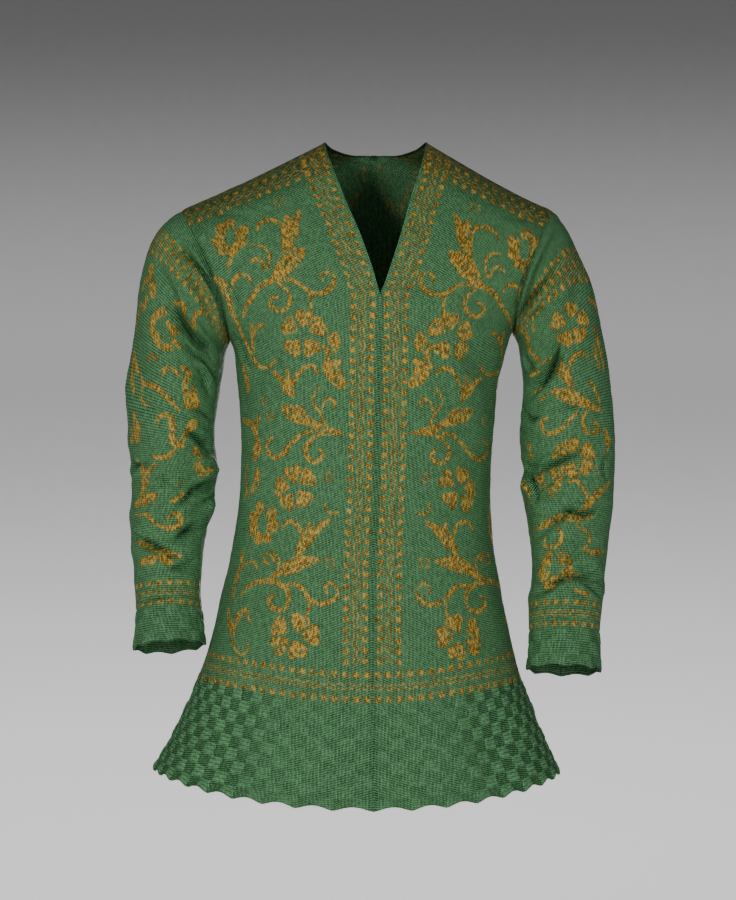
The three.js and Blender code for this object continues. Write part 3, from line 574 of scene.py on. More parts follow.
SLEEVE_CHART = {
    Side.RIGHT: (
        Stem(((151, 268), (150, 277)), (4.6, 5.4)), Stem(((152, 286), (153, 295)), (5.4, 3.4)),
        Stem(((143, 288), (146, 280)), (2.4, 3.0)), Stem(((146, 300), (143, 309)), (4.0, 2.6)),
        Stem(((162, 312), (154, 318), (152, 328), (156, 337), (161, 346), (171, 348)),
             (4.4, 3.8, 3.2, 3.6, 3.4, 2.8)),
        Stem(((168, 324), (174, 332)), (2.8, 3.8)), Stem(((173, 341), (179, 347)), (2.8, 2.2)),
        Stem(((176, 303), (182, 306), (185, 316), (190, 325), (196, 330)), (2.8, 3.6, 2.6, 2.8, 1.8)),
        Stem(((203, 312), (195, 315), (194, 327)), (2.0, 2.4, 2.2)),
        Stem(((162, 374), (166, 369), (173, 370), (179, 376)), (2.2, 2.4, 2.0, 1.2)),
        Stem(((182, 368), (189, 374), (185, 384), (186, 396), (189, 406)), (2.2, 3.4, 2.8, 2.8, 3.6)),
        Stem(((193, 388), (194, 397), (196, 406)), (2.2, 4.4, 4.2)),
        Stem(((141, 376), (143, 384), (153, 386), (162, 393), (172, 403), (179, 411)),
             (1.2, 2.2, 2.4, 2.4, 2.0, 1.2)),
        Stem(((145, 384), (141, 392), (142, 402), (148, 406), (149, 399)), THIN),
        Stem(((134, 352), (135, 364), (138, 372)), (2.8, 4.0, 2.2)),
        Stem(((134, 416), (136, 427), (137, 438)), (3.0, 5.6, 4.4)),
        Stem(((131, 430), (132, 440)), (2.4, 3.4)), Stem(((148, 361), (152, 355), (157, 360)), THIN),
        Stem(((156, 422), (162, 416), (170, 417), (172, 430), (173, 442), (182, 446)),
             (1.6, 2.2, 3.2, 3.0, 3.4, 2.4)),
        Stem(((180, 444), (186, 434), (193, 425)), (2.4, 3.0, 5.0)),
        Stem(((153, 457), (162, 458), (170, 455), (176, 448)), (1.4, 2.2, 2.2, 1.4)),
        Stem(((196, 452), (200, 456)), (4.4, 3.6)),
        Stem(((198, 466), (203, 473), (212, 469)), (4.0, 3.8, 2.2)),
        Stem(((137, 461), (143, 471), (145, 482), (141, 494)), (1.8, 3.0, 4.8, 1.6)),
        Stem(((155, 464), (149, 472), (146, 481)), (1.6, 2.4, 3.0)),
        Stem(((136, 505), (145, 500), (153, 497)), (3.2, 5.0, 3.6)), Rosette((180, 483), 3.8, 1.4),
        Stem(((172, 502), (182, 495)), (2.2, 2.2)),
        Stem(((136, 515), (148, 516), (155, 526)), (1.4, 2.0, 1.2)),
        Stem(((158, 525), (168, 529), (178, 525), (180, 518), (174, 514), (166, 519)),
             (1.2, 2.2, 3.0, 2.8, 2.2, 1.2)),
        Stem(((139, 543), (147, 546), (156, 551)), (2.2, 3.6, 2.4)),
        Stem(((156, 551), (168, 553), (181, 557)), (2.4, 3.6, 1.8)),
        Stem(((142, 562), (152, 560)), (3.4, 4.2)), Stem(((161, 558), (170, 562)), (4.4, 3.6)),
        Stem(((141, 304), (138, 317), (136, 331)), (2.0, 3.0, 1.6)),
        Stem(((133, 366), (132, 380), (134, 392)), (2.2, 3.0, 1.8)),
        Stem(((226, 333), (227, 342)), (2.2, 1.6)),
    ),
    Side.LEFT: (
        Blossom(((559, 322), (571, 310), (583, 319), (579, 334), (566, 338)), (571, 325), 7.4),
        Stem(((521, 330), (527, 336), (529, 348), (536, 358), (545, 363), (551, 358)),
             (2.8, 2.8, 2.2, 2.2, 2.0, 1.4)),
        Stem(((533, 326), (534, 331)), (2.0, 1.4)),
        Stem(((552, 368), (559, 371), (566, 376), (572, 386)), (2.0, 2.6, 4.6, 2.2)),
        Stem(((561, 361), (565, 370)), (1.8, 3.2)),
        Stem(((567, 372), (573, 359), (581, 353), (588, 357)), THICK),
        Stem(((553, 391), (564, 395), (576, 399), (589, 405), (602, 411)), (2.2, 5.8, 6.2, 3.6, 1.8)),
        Stem(((589, 410), (583, 419), (586, 431), (594, 434), (598, 426), (593, 421)), THICK),
        Stem(((580, 410), (571, 419), (562, 429), (551, 434), (543, 430), (542, 421), (548, 418)), THICK),
        Stem(((594, 326), (598, 340), (602, 354), (604, 370)), (2.2, 3.2, 3.0, 1.8)),
        Stem(((589, 300), (596, 306), (599, 316)), (2.6, 3.2, 1.8)),
        Blossom(((559, 454), (572, 446), (588, 452), (585, 466), (570, 469)), (574, 459), 7.4),
        RingFlower((548, 480), 12.5, 100), Stem(((568, 483), (575, 480), (583, 488), (588, 500)), THICK),
        Stem(((578, 512), (588, 505), (598, 494), (610, 482)), (1.6, 3.4, 3.4, 1.6)),
        Stem(((533, 532), (546, 525), (560, 520), (576, 518), (593, 517)), (1.4, 3.6, 5.4, 4.6, 1.8)),
        Stem(((559, 529), (562, 538), (555, 547), (545, 546), (545, 539)), THICK),
        Stem(((577, 526), (588, 533), (590, 543), (583, 548)), THIN),
        Blossom(((547, 561), (564, 559), (567, 574), (552, 584), (544, 575)), (556, 572), 7.0),
        Rosette((596, 470), 3.6, 1.4), Rosette((528, 505), 3.6, 1.4),
        Stem(((605, 430), (608, 442), (606, 456)), (2.0, 3.6, 2.0)),
        Stem(((523, 485), (528, 495)), (3.6, 3.6)), Stem(((529, 446), (531, 458)), (2.8, 2.0)),
        Stem(((584, 549), (593, 553), (603, 552)), (1.6, 2.8, 2.0)),
        Stem(((546, 583), (562, 577), (579, 575)), (1.4, 2.2, 1.4)),
        Stem(((576, 590), (584, 594), (590, 596)), (1.6, 2.2, 1.2)),
        Stem(((535, 393), (541, 389), (546, 394), (542, 400)), THIN),
        Stem(((531, 376), (540, 371)), (2.2, 1.6)),
        Stem(((592, 383), (596, 392), (600, 402)), (1.8, 2.2, 1.6)),
        Stem(((594, 346), (597, 358), (600, 368)), (1.6, 3.0, 1.6)),
    ),
}


@dataclass(frozen=True)
class Fold:
    """A sharp fold through points of the chart: a valley with a ridge on its right-hand side."""

    points: tuple[Square, ...]
    deep: float = 3.5
    wide: float = 4.0
    ridge: float = 0.45


@dataclass(frozen=True)
class Bulge:
    """A place where the cloth puffs out."""

    centre: Square
    radius: float
    high: float


# Folds of the sleeves' fronts, on the same chart as the figures.
SLEEVE_FOLDS: dict[Side, tuple[Fold | Bulge, ...]] = {
    Side.RIGHT: (
        Fold(((176, 244), (187, 256), (199, 269), (211, 286), (221, 304), (228, 324), (231, 338)),
             6.2, 4.2, -0.4),
        Fold(((170, 300), (180, 320), (194, 338), (207, 350), (216, 368)), 5.0, 4.6, -0.6),
        Fold(((176, 333), (193, 354), (206, 364), (216, 380)), 4.2, 4.0, -0.6),
        Fold(((188, 356), (204, 376), (210, 396)), 2.6, 4.0, -0.5),
        Fold(((157, 264), (168, 284), (178, 304)), 1.8, 6.0, 0.4),
        Fold(((186, 432), (196, 437), (206, 444), (212, 449)), 4.2, 4.0, 0.3), Bulge((210, 463), 17, 3.4),
        Fold(((214, 484), (206, 486), (197, 489), (187, 498), (174, 506)), 4.6, 3.6, -0.25),
        Bulge((209, 507), 10, 5.6), Fold(((213, 494), (204, 503)), 3.0, 3.2, 0.3),
        Fold(((208, 524), (191, 530), (173, 541)), 4.2, 4.0, 0.5),
        Fold(((158, 470), (170, 488)), 2.2, 6.0, 0.4),
        Fold(((127, 533), (142, 542), (162, 549), (182, 558)), 4.0, 3.6, -0.5),
        Fold(((124, 459), (134, 466), (149, 462)), 3.6, 4.4, 0.4), Bulge((129, 443), 12, 1.8),
        Bulge((130, 515), 10, 2.0), Bulge((133, 551), 9, 2.0),
        Fold(((164, 569), (180, 567), (196, 562)), 3.0, 3.6, 0.5),
        Fold(((140, 602), (156, 599), (172, 595)), 2.4, 2.4, 0.4),
        Fold(((139, 400), (150, 408), (168, 418)), 1.6, 5.0, 0.5),
        Fold(((190, 408), (204, 414), (214, 424)), 2.4, 4.2, 0.5),
    ),
    Side.LEFT: (
        Fold(((563, 254), (549, 276), (536, 293), (522, 311), (513, 329)), 4.6, 4.2, -0.5),
        Fold(((552, 303), (538, 314), (526, 321)), 1.8, 3.6, 0.5),
        Fold(((563, 340), (556, 360), (545, 378), (530, 396)), 5.0, 4.8, -0.6),
        Fold(((524, 352), (530, 366), (540, 372)), 2.6, 4.0, 0.5),
        Fold(((520, 405), (530, 419), (540, 417)), 3.2, 4.0, 0.5),
        Fold(((590, 404), (572, 409), (556, 405)), 2.2, 4.0, 0.5),
        Fold(((522, 458), (528, 474), (533, 487), (538, 503)), 4.4, 4.0, 0.6), Bulge((522, 488), 10, 2.6),
        Fold(((590, 451), (568, 458), (548, 467), (534, 474)), 4.0, 4.0, 0.5),
        Fold(((606, 504), (588, 515), (570, 511), (555, 520), (532, 528)), 4.6, 3.8, 0.5),
        Fold(((610, 452), (604, 466), (607, 480)), 2.4, 4.0, 0.5), Bulge((612, 436), 12, 2.0),
        Fold(((584, 548), (572, 556), (566, 566)), 1.8, 4.4, 0.5),
        Fold(((608, 578), (590, 579), (574, 577), (558, 581), (545, 591), (528, 596)), 4.4, 3.6, 0.5),
        Fold(((603, 600), (592, 588), (578, 582)), 3.0, 3.4, 0.5), Bulge((527, 598), 8, 2.2),
        Bulge((606, 590), 8, 1.6), Fold(((530, 603), (558, 602), (579, 607), (602, 612)), 2.0, 2.6, 0.4),
        Fold(((536, 612), (560, 615), (590, 621)), 1.2, 2.4, 0.4),
    ),
}
BODY_FOLDS: dict[Side, tuple[Fold | Bulge, ...]] = {
    Side.RIGHT: (
        Fold(((231, 333), (243, 352), (252, 376)), 2.2, 5.0, 0.5),
        Fold(((222, 276), (232, 292), (240, 312)), 1.8, 5.0, 0.5),
        Fold(((239, 448), (250, 462), (268, 470)), 1.2, 6.0, 0.5),
        Fold(((200, 205), (222, 214), (250, 214)), 1.4, 6.0, -0.5),
    ),
    Side.LEFT: (
        Fold(((520, 332), (510, 352), (503, 374)), 2.2, 5.0, -0.5),
        Fold(((528, 280), (520, 294), (512, 312)), 1.8, 5.0, -0.5),
        Fold(((497, 440), (486, 456), (470, 462)), 1.2, 6.0, -0.5),
        Fold(((548, 212), (528, 219), (500, 216)), 1.4, 6.0, 0.5),
    ),
}


class Chart:
    """Distances to the gilt figures, and the folds, measured on the cloth itself."""

    def __init__(self, points: Array, normals: Array, seen: Array) -> None:
        """Keeps the points of one piece.

        Args:
            points: the cloth's points, N by 3, in millimetres.
            normals: their unit normals.
            seen: where each falls on the chart, N by 2.
        """
        self.points = points
        self.normals = normals
        self.known = np.flatnonzero(normals[:, 1] < -0.08)
        self.seen = seen[self.known]
        self.distance = np.full(len(points), NO_FIGURE)

    def lay(self, squares: tuple[Square, ...]) -> Array:
        """The cloth's points under squares of the chart."""
        laid = []
        for square in squares:
            gap = ((self.seen - square) ** 2).sum(1)
            near = np.argpartition(gap, 3)[:3]
            weight = 1 / (gap[near] + 0.05)
            laid.append((self.points[self.known[near]] * weight[:, None]).sum(0) / weight.sum())
        return np.array(laid)

    def frame(self, point: Array) -> Pair:
        """Directions across and up the cloth at a point."""
        near = int(np.argmin(((self.points - point) ** 2).sum(1)))
        normal = self.normals[near]
        across = np.array([1.0, 0, 0]) - normal * normal[0]
        across /= np.linalg.norm(across)
        return across, np.cross(across, normal) * -1.0

    def stroke(self, points: Array, girth: Array) -> None:
        """Adds a stroke along points, with its half-width at each."""
        reach = girth.max() + 9
        low, high = points.min(0) - reach, points.max(0) + reach
        near = np.flatnonzero(np.all((self.points > low) & (self.points < high), axis=1))
        place, best = self.points[near], self.distance[near]
        for a, b, ra, rb in zip(points[:-1], points[1:], girth[:-1], girth[1:]):
            step = b - a
            share = np.clip((place - a) @ step / max(float(step @ step), 1e-6), 0, 1)
            gap = np.linalg.norm(place - a - share[:, None] * step, axis=1)
            best = np.minimum(best, gap - (ra + (rb - ra) * share))
        self.distance[near] = best

    def press(self, fold: Fold | Bulge) -> Array:
        """How far a fold or bulge lifts each point."""
        lift = np.zeros(len(self.points))
        if isinstance(fold, Bulge):
            gap = np.linalg.norm(self.points - self.lay((fold.centre,))[0], axis=1)
            return fold.high * np.exp(-((gap / (fold.radius * CHART_SQUARE)) ** 2))
        curve, _ = self._smooth(self.lay(fold.points), (1.0,))
        reach = 4.5 * fold.wide
        low, high = curve.min(0) - reach, curve.max(0) + reach
        near = np.flatnonzero(np.all((self.points > low) & (self.points < high), axis=1))
        place, normal = self.points[near], self.normals[near]
        best, off, share = np.full(len(near), 1e9), np.zeros(len(near)), np.zeros(len(near))
        for k, (a, b) in enumerate(zip(curve[:-1], curve[1:])):
            step = b - a
            along = np.clip((place - a) @ step / max(float(step @ step), 1e-6), 0, 1)
            away = place - a - along[:, None] * step
            gap = np.linalg.norm(away, axis=1)
            side = np.einsum("ij,ij->i", away, np.cross(step, normal))
            closer = gap < best
            best = np.where(closer, gap, best)
            off = np.where(closer, np.sign(side) * gap, off)
            share = np.where(closer, (k + along) / (len(curve) - 1), share)
        taper = np.sin(np.clip(share, 0, 1) * math.pi) ** 0.7
        wide = 0.75 * fold.wide
        valley = np.exp(-((best / wide) ** 1.3))
        widths = off * np.sign(fold.ridge) / fold.wide
        ridge = hump(widths - FOLD_RIDGE_AT, 1.0) * abs(fold.ridge)
        other = hump(widths + 2.0, 1.0) * 0.15
        lift[near] = FOLD_FULLNESS * fold.deep * taper * (0.85 * ridge + other - valley)
        return lift

    def cut(self, points: Array, girth: Array) -> None:
        """Takes a stroke out of what is there."""
        kept = self.distance
        self.distance = np.full(len(kept), NO_FIGURE)
        self.stroke(points, girth)
        self.distance = np.maximum(kept, -self.distance)

    def dot(self, place: Array, radius: float) -> None:
        """Adds a round spot."""
        self.stroke(np.array([place, place + 0.01]), np.array([radius, radius]))

    def draw(self, figure: Figure) -> None:
        """Adds one figure of the pattern."""
        if isinstance(figure, Stem):
            self.stroke(*self._smooth(self.lay(figure.points), figure.girth))
        elif isinstance(figure, Rosette):
            centre = self.lay((figure.centre,))[0]
            across, up = self.frame(centre)
            for k in range(figure.count):
                turn = math.tau * (k + 0.5) / figure.count
                spot = across * math.cos(turn) + up * math.sin(turn)
                self.dot(centre + spot * figure.radius * CHART_SQUARE, figure.dot * CHART_SQUARE)
        elif isinstance(figure, Blossom):
            self._blossom(figure)
        else:
            self._ring_flower(figure)

    def _smooth(self, points: Array, girth: tuple[float, ...]) -> Pair:
        """A smooth curve through points, with the half-widths spread along it."""
        ends = np.vstack([2 * points[0] - points[1], points, 2 * points[-1] - points[-2]])
        curve = [points[0]]
        for a, b, c, d in zip(ends[:-3], ends[1:-2], ends[2:-1], ends[3:]):
            for t in (0.2, 0.4, 0.6, 0.8, 1.0):
                bend = (2 * a - 5 * b + 4 * c - d) * t**2 + (3 * b - a - 3 * c + d) * t**3
                curve.append(b + 0.5 * ((c - a) * t + bend))
        share = np.linspace(0, 1, len(curve))
        widths = np.interp(share, np.linspace(0, 1, len(girth)), girth)
        return np.array(curve), widths * CHART_SQUARE * FULLNESS

    def _blossom(self, flower: Blossom) -> None:
        """Adds heart-shaped petals that point at the flower's middle."""
        size = flower.size * CHART_SQUARE
        centre = self.lay((flower.centre,))[0]
        right, up = self.frame(centre)
        for petal in self.lay(flower.petals):
            out = petal - centre
            reach = float(np.linalg.norm(out))
            out = out / reach
            across = np.cross(out, np.cross(right, up))
            middle = centre + out * min(max(reach, 1.35 * size), 2.0 * size)
            for lobe in (-1, 1):
                tip = middle + out * 0.34 * size + across * lobe * 0.50 * size
                root = middle - out * 0.72 * size
                self.stroke(np.array([root, tip]), np.array([0.40, 0.74]) * size)

    def _ring_flower(self, flower: RingFlower) -> None:
        """Adds a lobed ring, open on one side, with a small hollow."""
        centre = self.lay((flower.centre,))[0]
        across, up = self.frame(centre)
        radius = flower.radius * CHART_SQUARE
        for k in range(7):
            turn = math.radians(flower.open_to) + math.tau * (k + 0.7) / 7.6
            spoke = 0.9 * across * math.cos(turn) + up * math.sin(turn)
            self.dot(centre + radius * spoke, 0.44 * radius)
            self.dot(centre + 0.72 * radius * spoke, 0.32 * radius)
        hollow = np.array([centre + 0.35 * radius * up, centre - 0.32 * radius * up])
        self.cut(hollow, np.array([0.30, 0.34]) * radius)


def mirrored(figures: tuple[Figure, ...]) -> tuple[Figure, ...]:
    """The figures on the other front, where they hang a little lower towards the armhole."""

    def across(point: Square) -> Square:
        """A point's place on the other front."""
        column, row = point
        drop = 1 + (2 + 0.12 * (304 - column)) * float(1 - ramp(330, 500, row))
        return 2 * MIRROR_COLUMN - column, row + drop

    turned = []
    for figure in figures:
        if isinstance(figure, Stem):
            turned.append(Stem(tuple(across(p) for p in figure.points), figure.girth))
        elif isinstance(figure, Blossom):
            petals = tuple(across(p) for p in figure.petals)
            turned.append(Blossom(petals, across(figure.centre), figure.size))
        elif isinstance(figure, Rosette):
            turned.append(Rosette(across(figure.centre), figure.radius, figure.dot, figure.count))
        else:
            turned.append(RingFlower(across(figure.centre), figure.radius, 180 - figure.open_to))
    return tuple(turned)


# ------------------------------------------------------------------ cloth grids


def walk(points: Array, axis: int) -> Array:
    """The length walked along one axis of a grid of points, from its start."""
    steps = np.linalg.norm(np.diff(points, axis=axis), axis=-1)
    pad = [(0, 0), (0, 0)]
    pad[axis] = (1, 0)
    return np.pad(np.cumsum(steps, axis=axis), pad)


def block_relief(columns: Array, rows: Array) -> Array:
    """Height of the basket knit, +1 on a raised block and -1 on a sunk one, with soft edges."""
    return np.tanh(4.5 * np.sin(math.pi * columns) * np.sin(math.pi * rows))


def scallop(columns: Array, depth: float) -> Array:
    """How far the hem rises between its points, at places counted in blocks."""
    return depth * np.abs(np.sin(columns / 2 * math.pi)) ** 1.3


def unevenness(points: Array) -> Array:
    """The slight, slow unevenness of knitted cloth, which runs on across the seams."""
    rng = np.random.default_rng(7)
    total = np.zeros(points.shape[:-1])
    for waves, shortest, longest, height in ((14, 34, 95, 0.17), (10, 6.5, 13, 0.045)):
        layer = np.zeros(points.shape[:-1])
        for _ in range(waves):
            wave = rng.normal(size=3)
            wave *= math.tau / rng.uniform(shortest, longest) / np.linalg.norm(wave)
            layer += np.sin(points @ wave + rng.uniform(0, math.tau))
        total += height * layer
    return total


@dataclass
class Panel:
    """One stretch of cloth as a grid, with its layout for the knitting."""

    points: Array  # the outer face
    normals: Array
    inner_lift: Array  # how far the inner face lies out from the outer one; below nought
    place: Array  # millimetres across and down the wales
    brocade: Array  # millimetres to the gilt figures, below nought in them
    painted_shade_depth: Array  # how deep the painted shade is: millimetres into the sharp folds, plus the armhole seam's share
    front_band: Array  # across and along each border
    level_band: Array
    top_band: Array  # and how wide it is
    blocks: Array  # relief, rows and amount of the basket knit's light and dark, on the body raised towards the sides as painted light
    kept_rows: tuple[int, ...] = ()
    wraps: bool = False

    def picks(self, step: int) -> Pair:
        """The rows and columns that the coarser inner face keeps."""
        height, width = self.points.shape[:2]
        rows = np.union1d(np.arange(0, height, step), (*self.kept_rows, height - 1))
        columns = np.arange(0, width, step)
        return rows, columns if self.wraps else np.union1d(columns, [width - 1])


def grid_normals(points: Array, outward: float, wraps: bool) -> Array:
    """Unit normals of a grid of points."""
    if wraps:
        ring = np.concatenate([points[:, -1:], points, points[:, :1]], axis=1)
        across = ring[:, 2:] - ring[:, :-2]
    else:
        across = np.gradient(points, axis=1)
    normal = np.cross(across, np.gradient(points, axis=0)) * outward
    return normal / np.maximum(np.linalg.norm(normal, axis=-1, keepdims=True), 1e-9)


class ShellMesh:
    """Collects the vertices and faces of one closed piece of cloth."""

    def __init__(self, name: str) -> None:
        """Starts an empty piece of that name."""
        self.name = name
        self.count = 0
        self.points: list[Array] = []
        self.fields: dict[str, list[Array]] = {}
        self.faces: list[Array] = []

    def add(self, panel: Panel, points: Array, pick: Pair, reverse: bool) -> Array:
        """Adds a panel's vertices.

        Args:
            panel: the layout for the knitting.
            points: where its vertices lie.
            pick: the rows and columns of the panel that they are.
            reverse: True on the inner face.

        Returns:
            The grid of vertex numbers.
        """
        rows, columns = points.shape[:2]
        numbers = np.arange(rows * columns).reshape(rows, columns) + self.count
        self.count += rows * columns
        self.points.append(points.reshape(-1, 3))
        kept = np.ix_(*pick)
        for label in ("place", "front_band", "level_band"):
            pair = getattr(panel, label)[kept].reshape(-1, 2)
            third = np.full((len(pair), 1), float(reverse))
            self.fields.setdefault(label, []).append(np.hstack([pair, third]))
        for label in ("top_band", "blocks"):
            self.fields.setdefault(label, []).append(getattr(panel, label)[kept].reshape(-1, 3))
        # the brocade attribute's second value is the depth of painted shade in the folds and at the armholes
        figures = np.stack([panel.brocade, panel.painted_shade_depth, 0 * panel.painted_shade_depth], -1)[kept].reshape(-1, 3)
        self.fields.setdefault("brocade", []).append(figures)
        return numbers

    def fill(self, numbers: Array, flip: bool) -> None:
        """Fills a grid of vertex numbers with faces of four corners."""
        a, b = numbers[:-1, :-1].ravel(), numbers[:-1, 1:].ravel()
        c, d = numbers[1:, 1:].ravel(), numbers[1:, :-1].ravel()
        self.faces.append(np.stack((a, d, c, b) if flip else (a, b, c, d), 1))

    def zip(self, fine: Array, coarse: Array, at: Array, flip: bool) -> None:
        """Closes the rim between a fine edge and a coarse one.

        Args:
            fine: vertex numbers along the fine edge.
            coarse: vertex numbers along the coarse edge, which runs the same way.
            at: the coarse vertices' places along the fine edge, from 0.
            flip: which way the faces turn.
        """
        rows = []
        j = 0
        for i in range(len(fine) - 1):
            rows.append((fine[i], fine[i + 1], coarse[j]))
            while j < len(coarse) - 1 and at[j + 1] <= i + 1:
                rows.append((fine[i + 1], coarse[j + 1], coarse[j]))
                j += 1
        faces = np.array(rows)
        self.faces.append(faces[:, ::-1] if flip else faces)

    def build(self, material: Material) -> bpy.types.Object:
        """Makes the object, linked to the scene."""
        points = np.vstack(self.points) * MM
        corners = np.concatenate([face.ravel() for face in self.faces])
        used, corners = np.unique(corners, return_inverse=True)
        sizes = np.concatenate([np.full(len(face), face.shape[1]) for face in self.faces])
        starts = np.concatenate([[0], np.cumsum(sizes)[:-1]])
        mesh = bpy.data.meshes.new(self.name)
        mesh.vertices.add(len(used))
        mesh.vertices.foreach_set("co", points[used].astype(np.float32).ravel())
        mesh.loops.add(len(corners))
        mesh.loops.foreach_set("vertex_index", corners.astype(np.int32).ravel())
        mesh.polygons.add(len(sizes))
        mesh.polygons.foreach_set("loop_start", starts.astype(np.int32))
        mesh.update(calc_edges=True)
        for label, parts in self.fields.items():
            layer = mesh.attributes.new(label, "FLOAT_VECTOR", "POINT")
            layer.data.foreach_set("vector", np.vstack(parts)[used].astype(np.float32).ravel())
        mesh.shade_smooth()
        mesh.materials.append(material)
        piece = bpy.data.objects.new(self.name, mesh)
        bpy.context.scene.collection.objects.link(piece)
        log.info("%s: %d triangles", self.name, int((sizes - 2).sum()))
        return piece


def close_panels(mesh: ShellMesh, panels: list[Panel], step: int, weld_to: int, turned: bool) -> None:
    """Adds panels that share their first column up to a row, with inner faces and rims.

    Args:
        mesh: collects the faces.
        panels: one panel, or two that meet at their first columns.
        step: how many outer cells an inner one spans.
        weld_to: the last row where two panels are joined, or the first of the open edge.
        turned: whether the first panel's faces turn the other way.
    """
    first: dict[str, Array] = {}
    for index, panel in enumerate(panels):
        rows, columns = panel.picks(step)
        every = (np.arange(panel.points.shape[0]), np.arange(panel.points.shape[1]))
        outer = mesh.add(panel, panel.points, every, False)
        kept = np.ix_(rows, columns)
        inside = panel.points[kept] + panel.normals[kept] * panel.inner_lift[kept][..., None]
        inner = mesh.add(panel, inside, (rows, columns), True)
        flip = turned != (index == 1)
        if index == 1:
            below = int(np.searchsorted(rows, weld_to))
            outer[: weld_to + 1, 0] = first["outer"][: weld_to + 1]
            inner[: below + 1, 0] = first["inner"][: below + 1]
        first = {"outer": outer[:, 0].copy(), "inner": inner[:, 0].copy()}
        if panel.wraps:
            outer, inner = np.hstack([outer, outer[:, :1]]), np.hstack([inner, inner[:, :1]])
            columns = np.append(columns, panel.points.shape[1])
        mesh.fill(outer, not flip)
        mesh.fill(inner, flip)
        mesh.zip(outer[0], inner[0], columns, not flip)
        mesh.zip(outer[-1], inner[-1], columns, flip)
        if panel.wraps:
            continue
        mesh.zip(outer[:, -1], inner[:, -1], rows, not flip)
        low = weld_to if len(panels) == 2 else 0
        below = int(np.searchsorted(rows, low))
        mesh.zip(outer[low:, 0], inner[below:, 0], rows[below:] - low, flip)


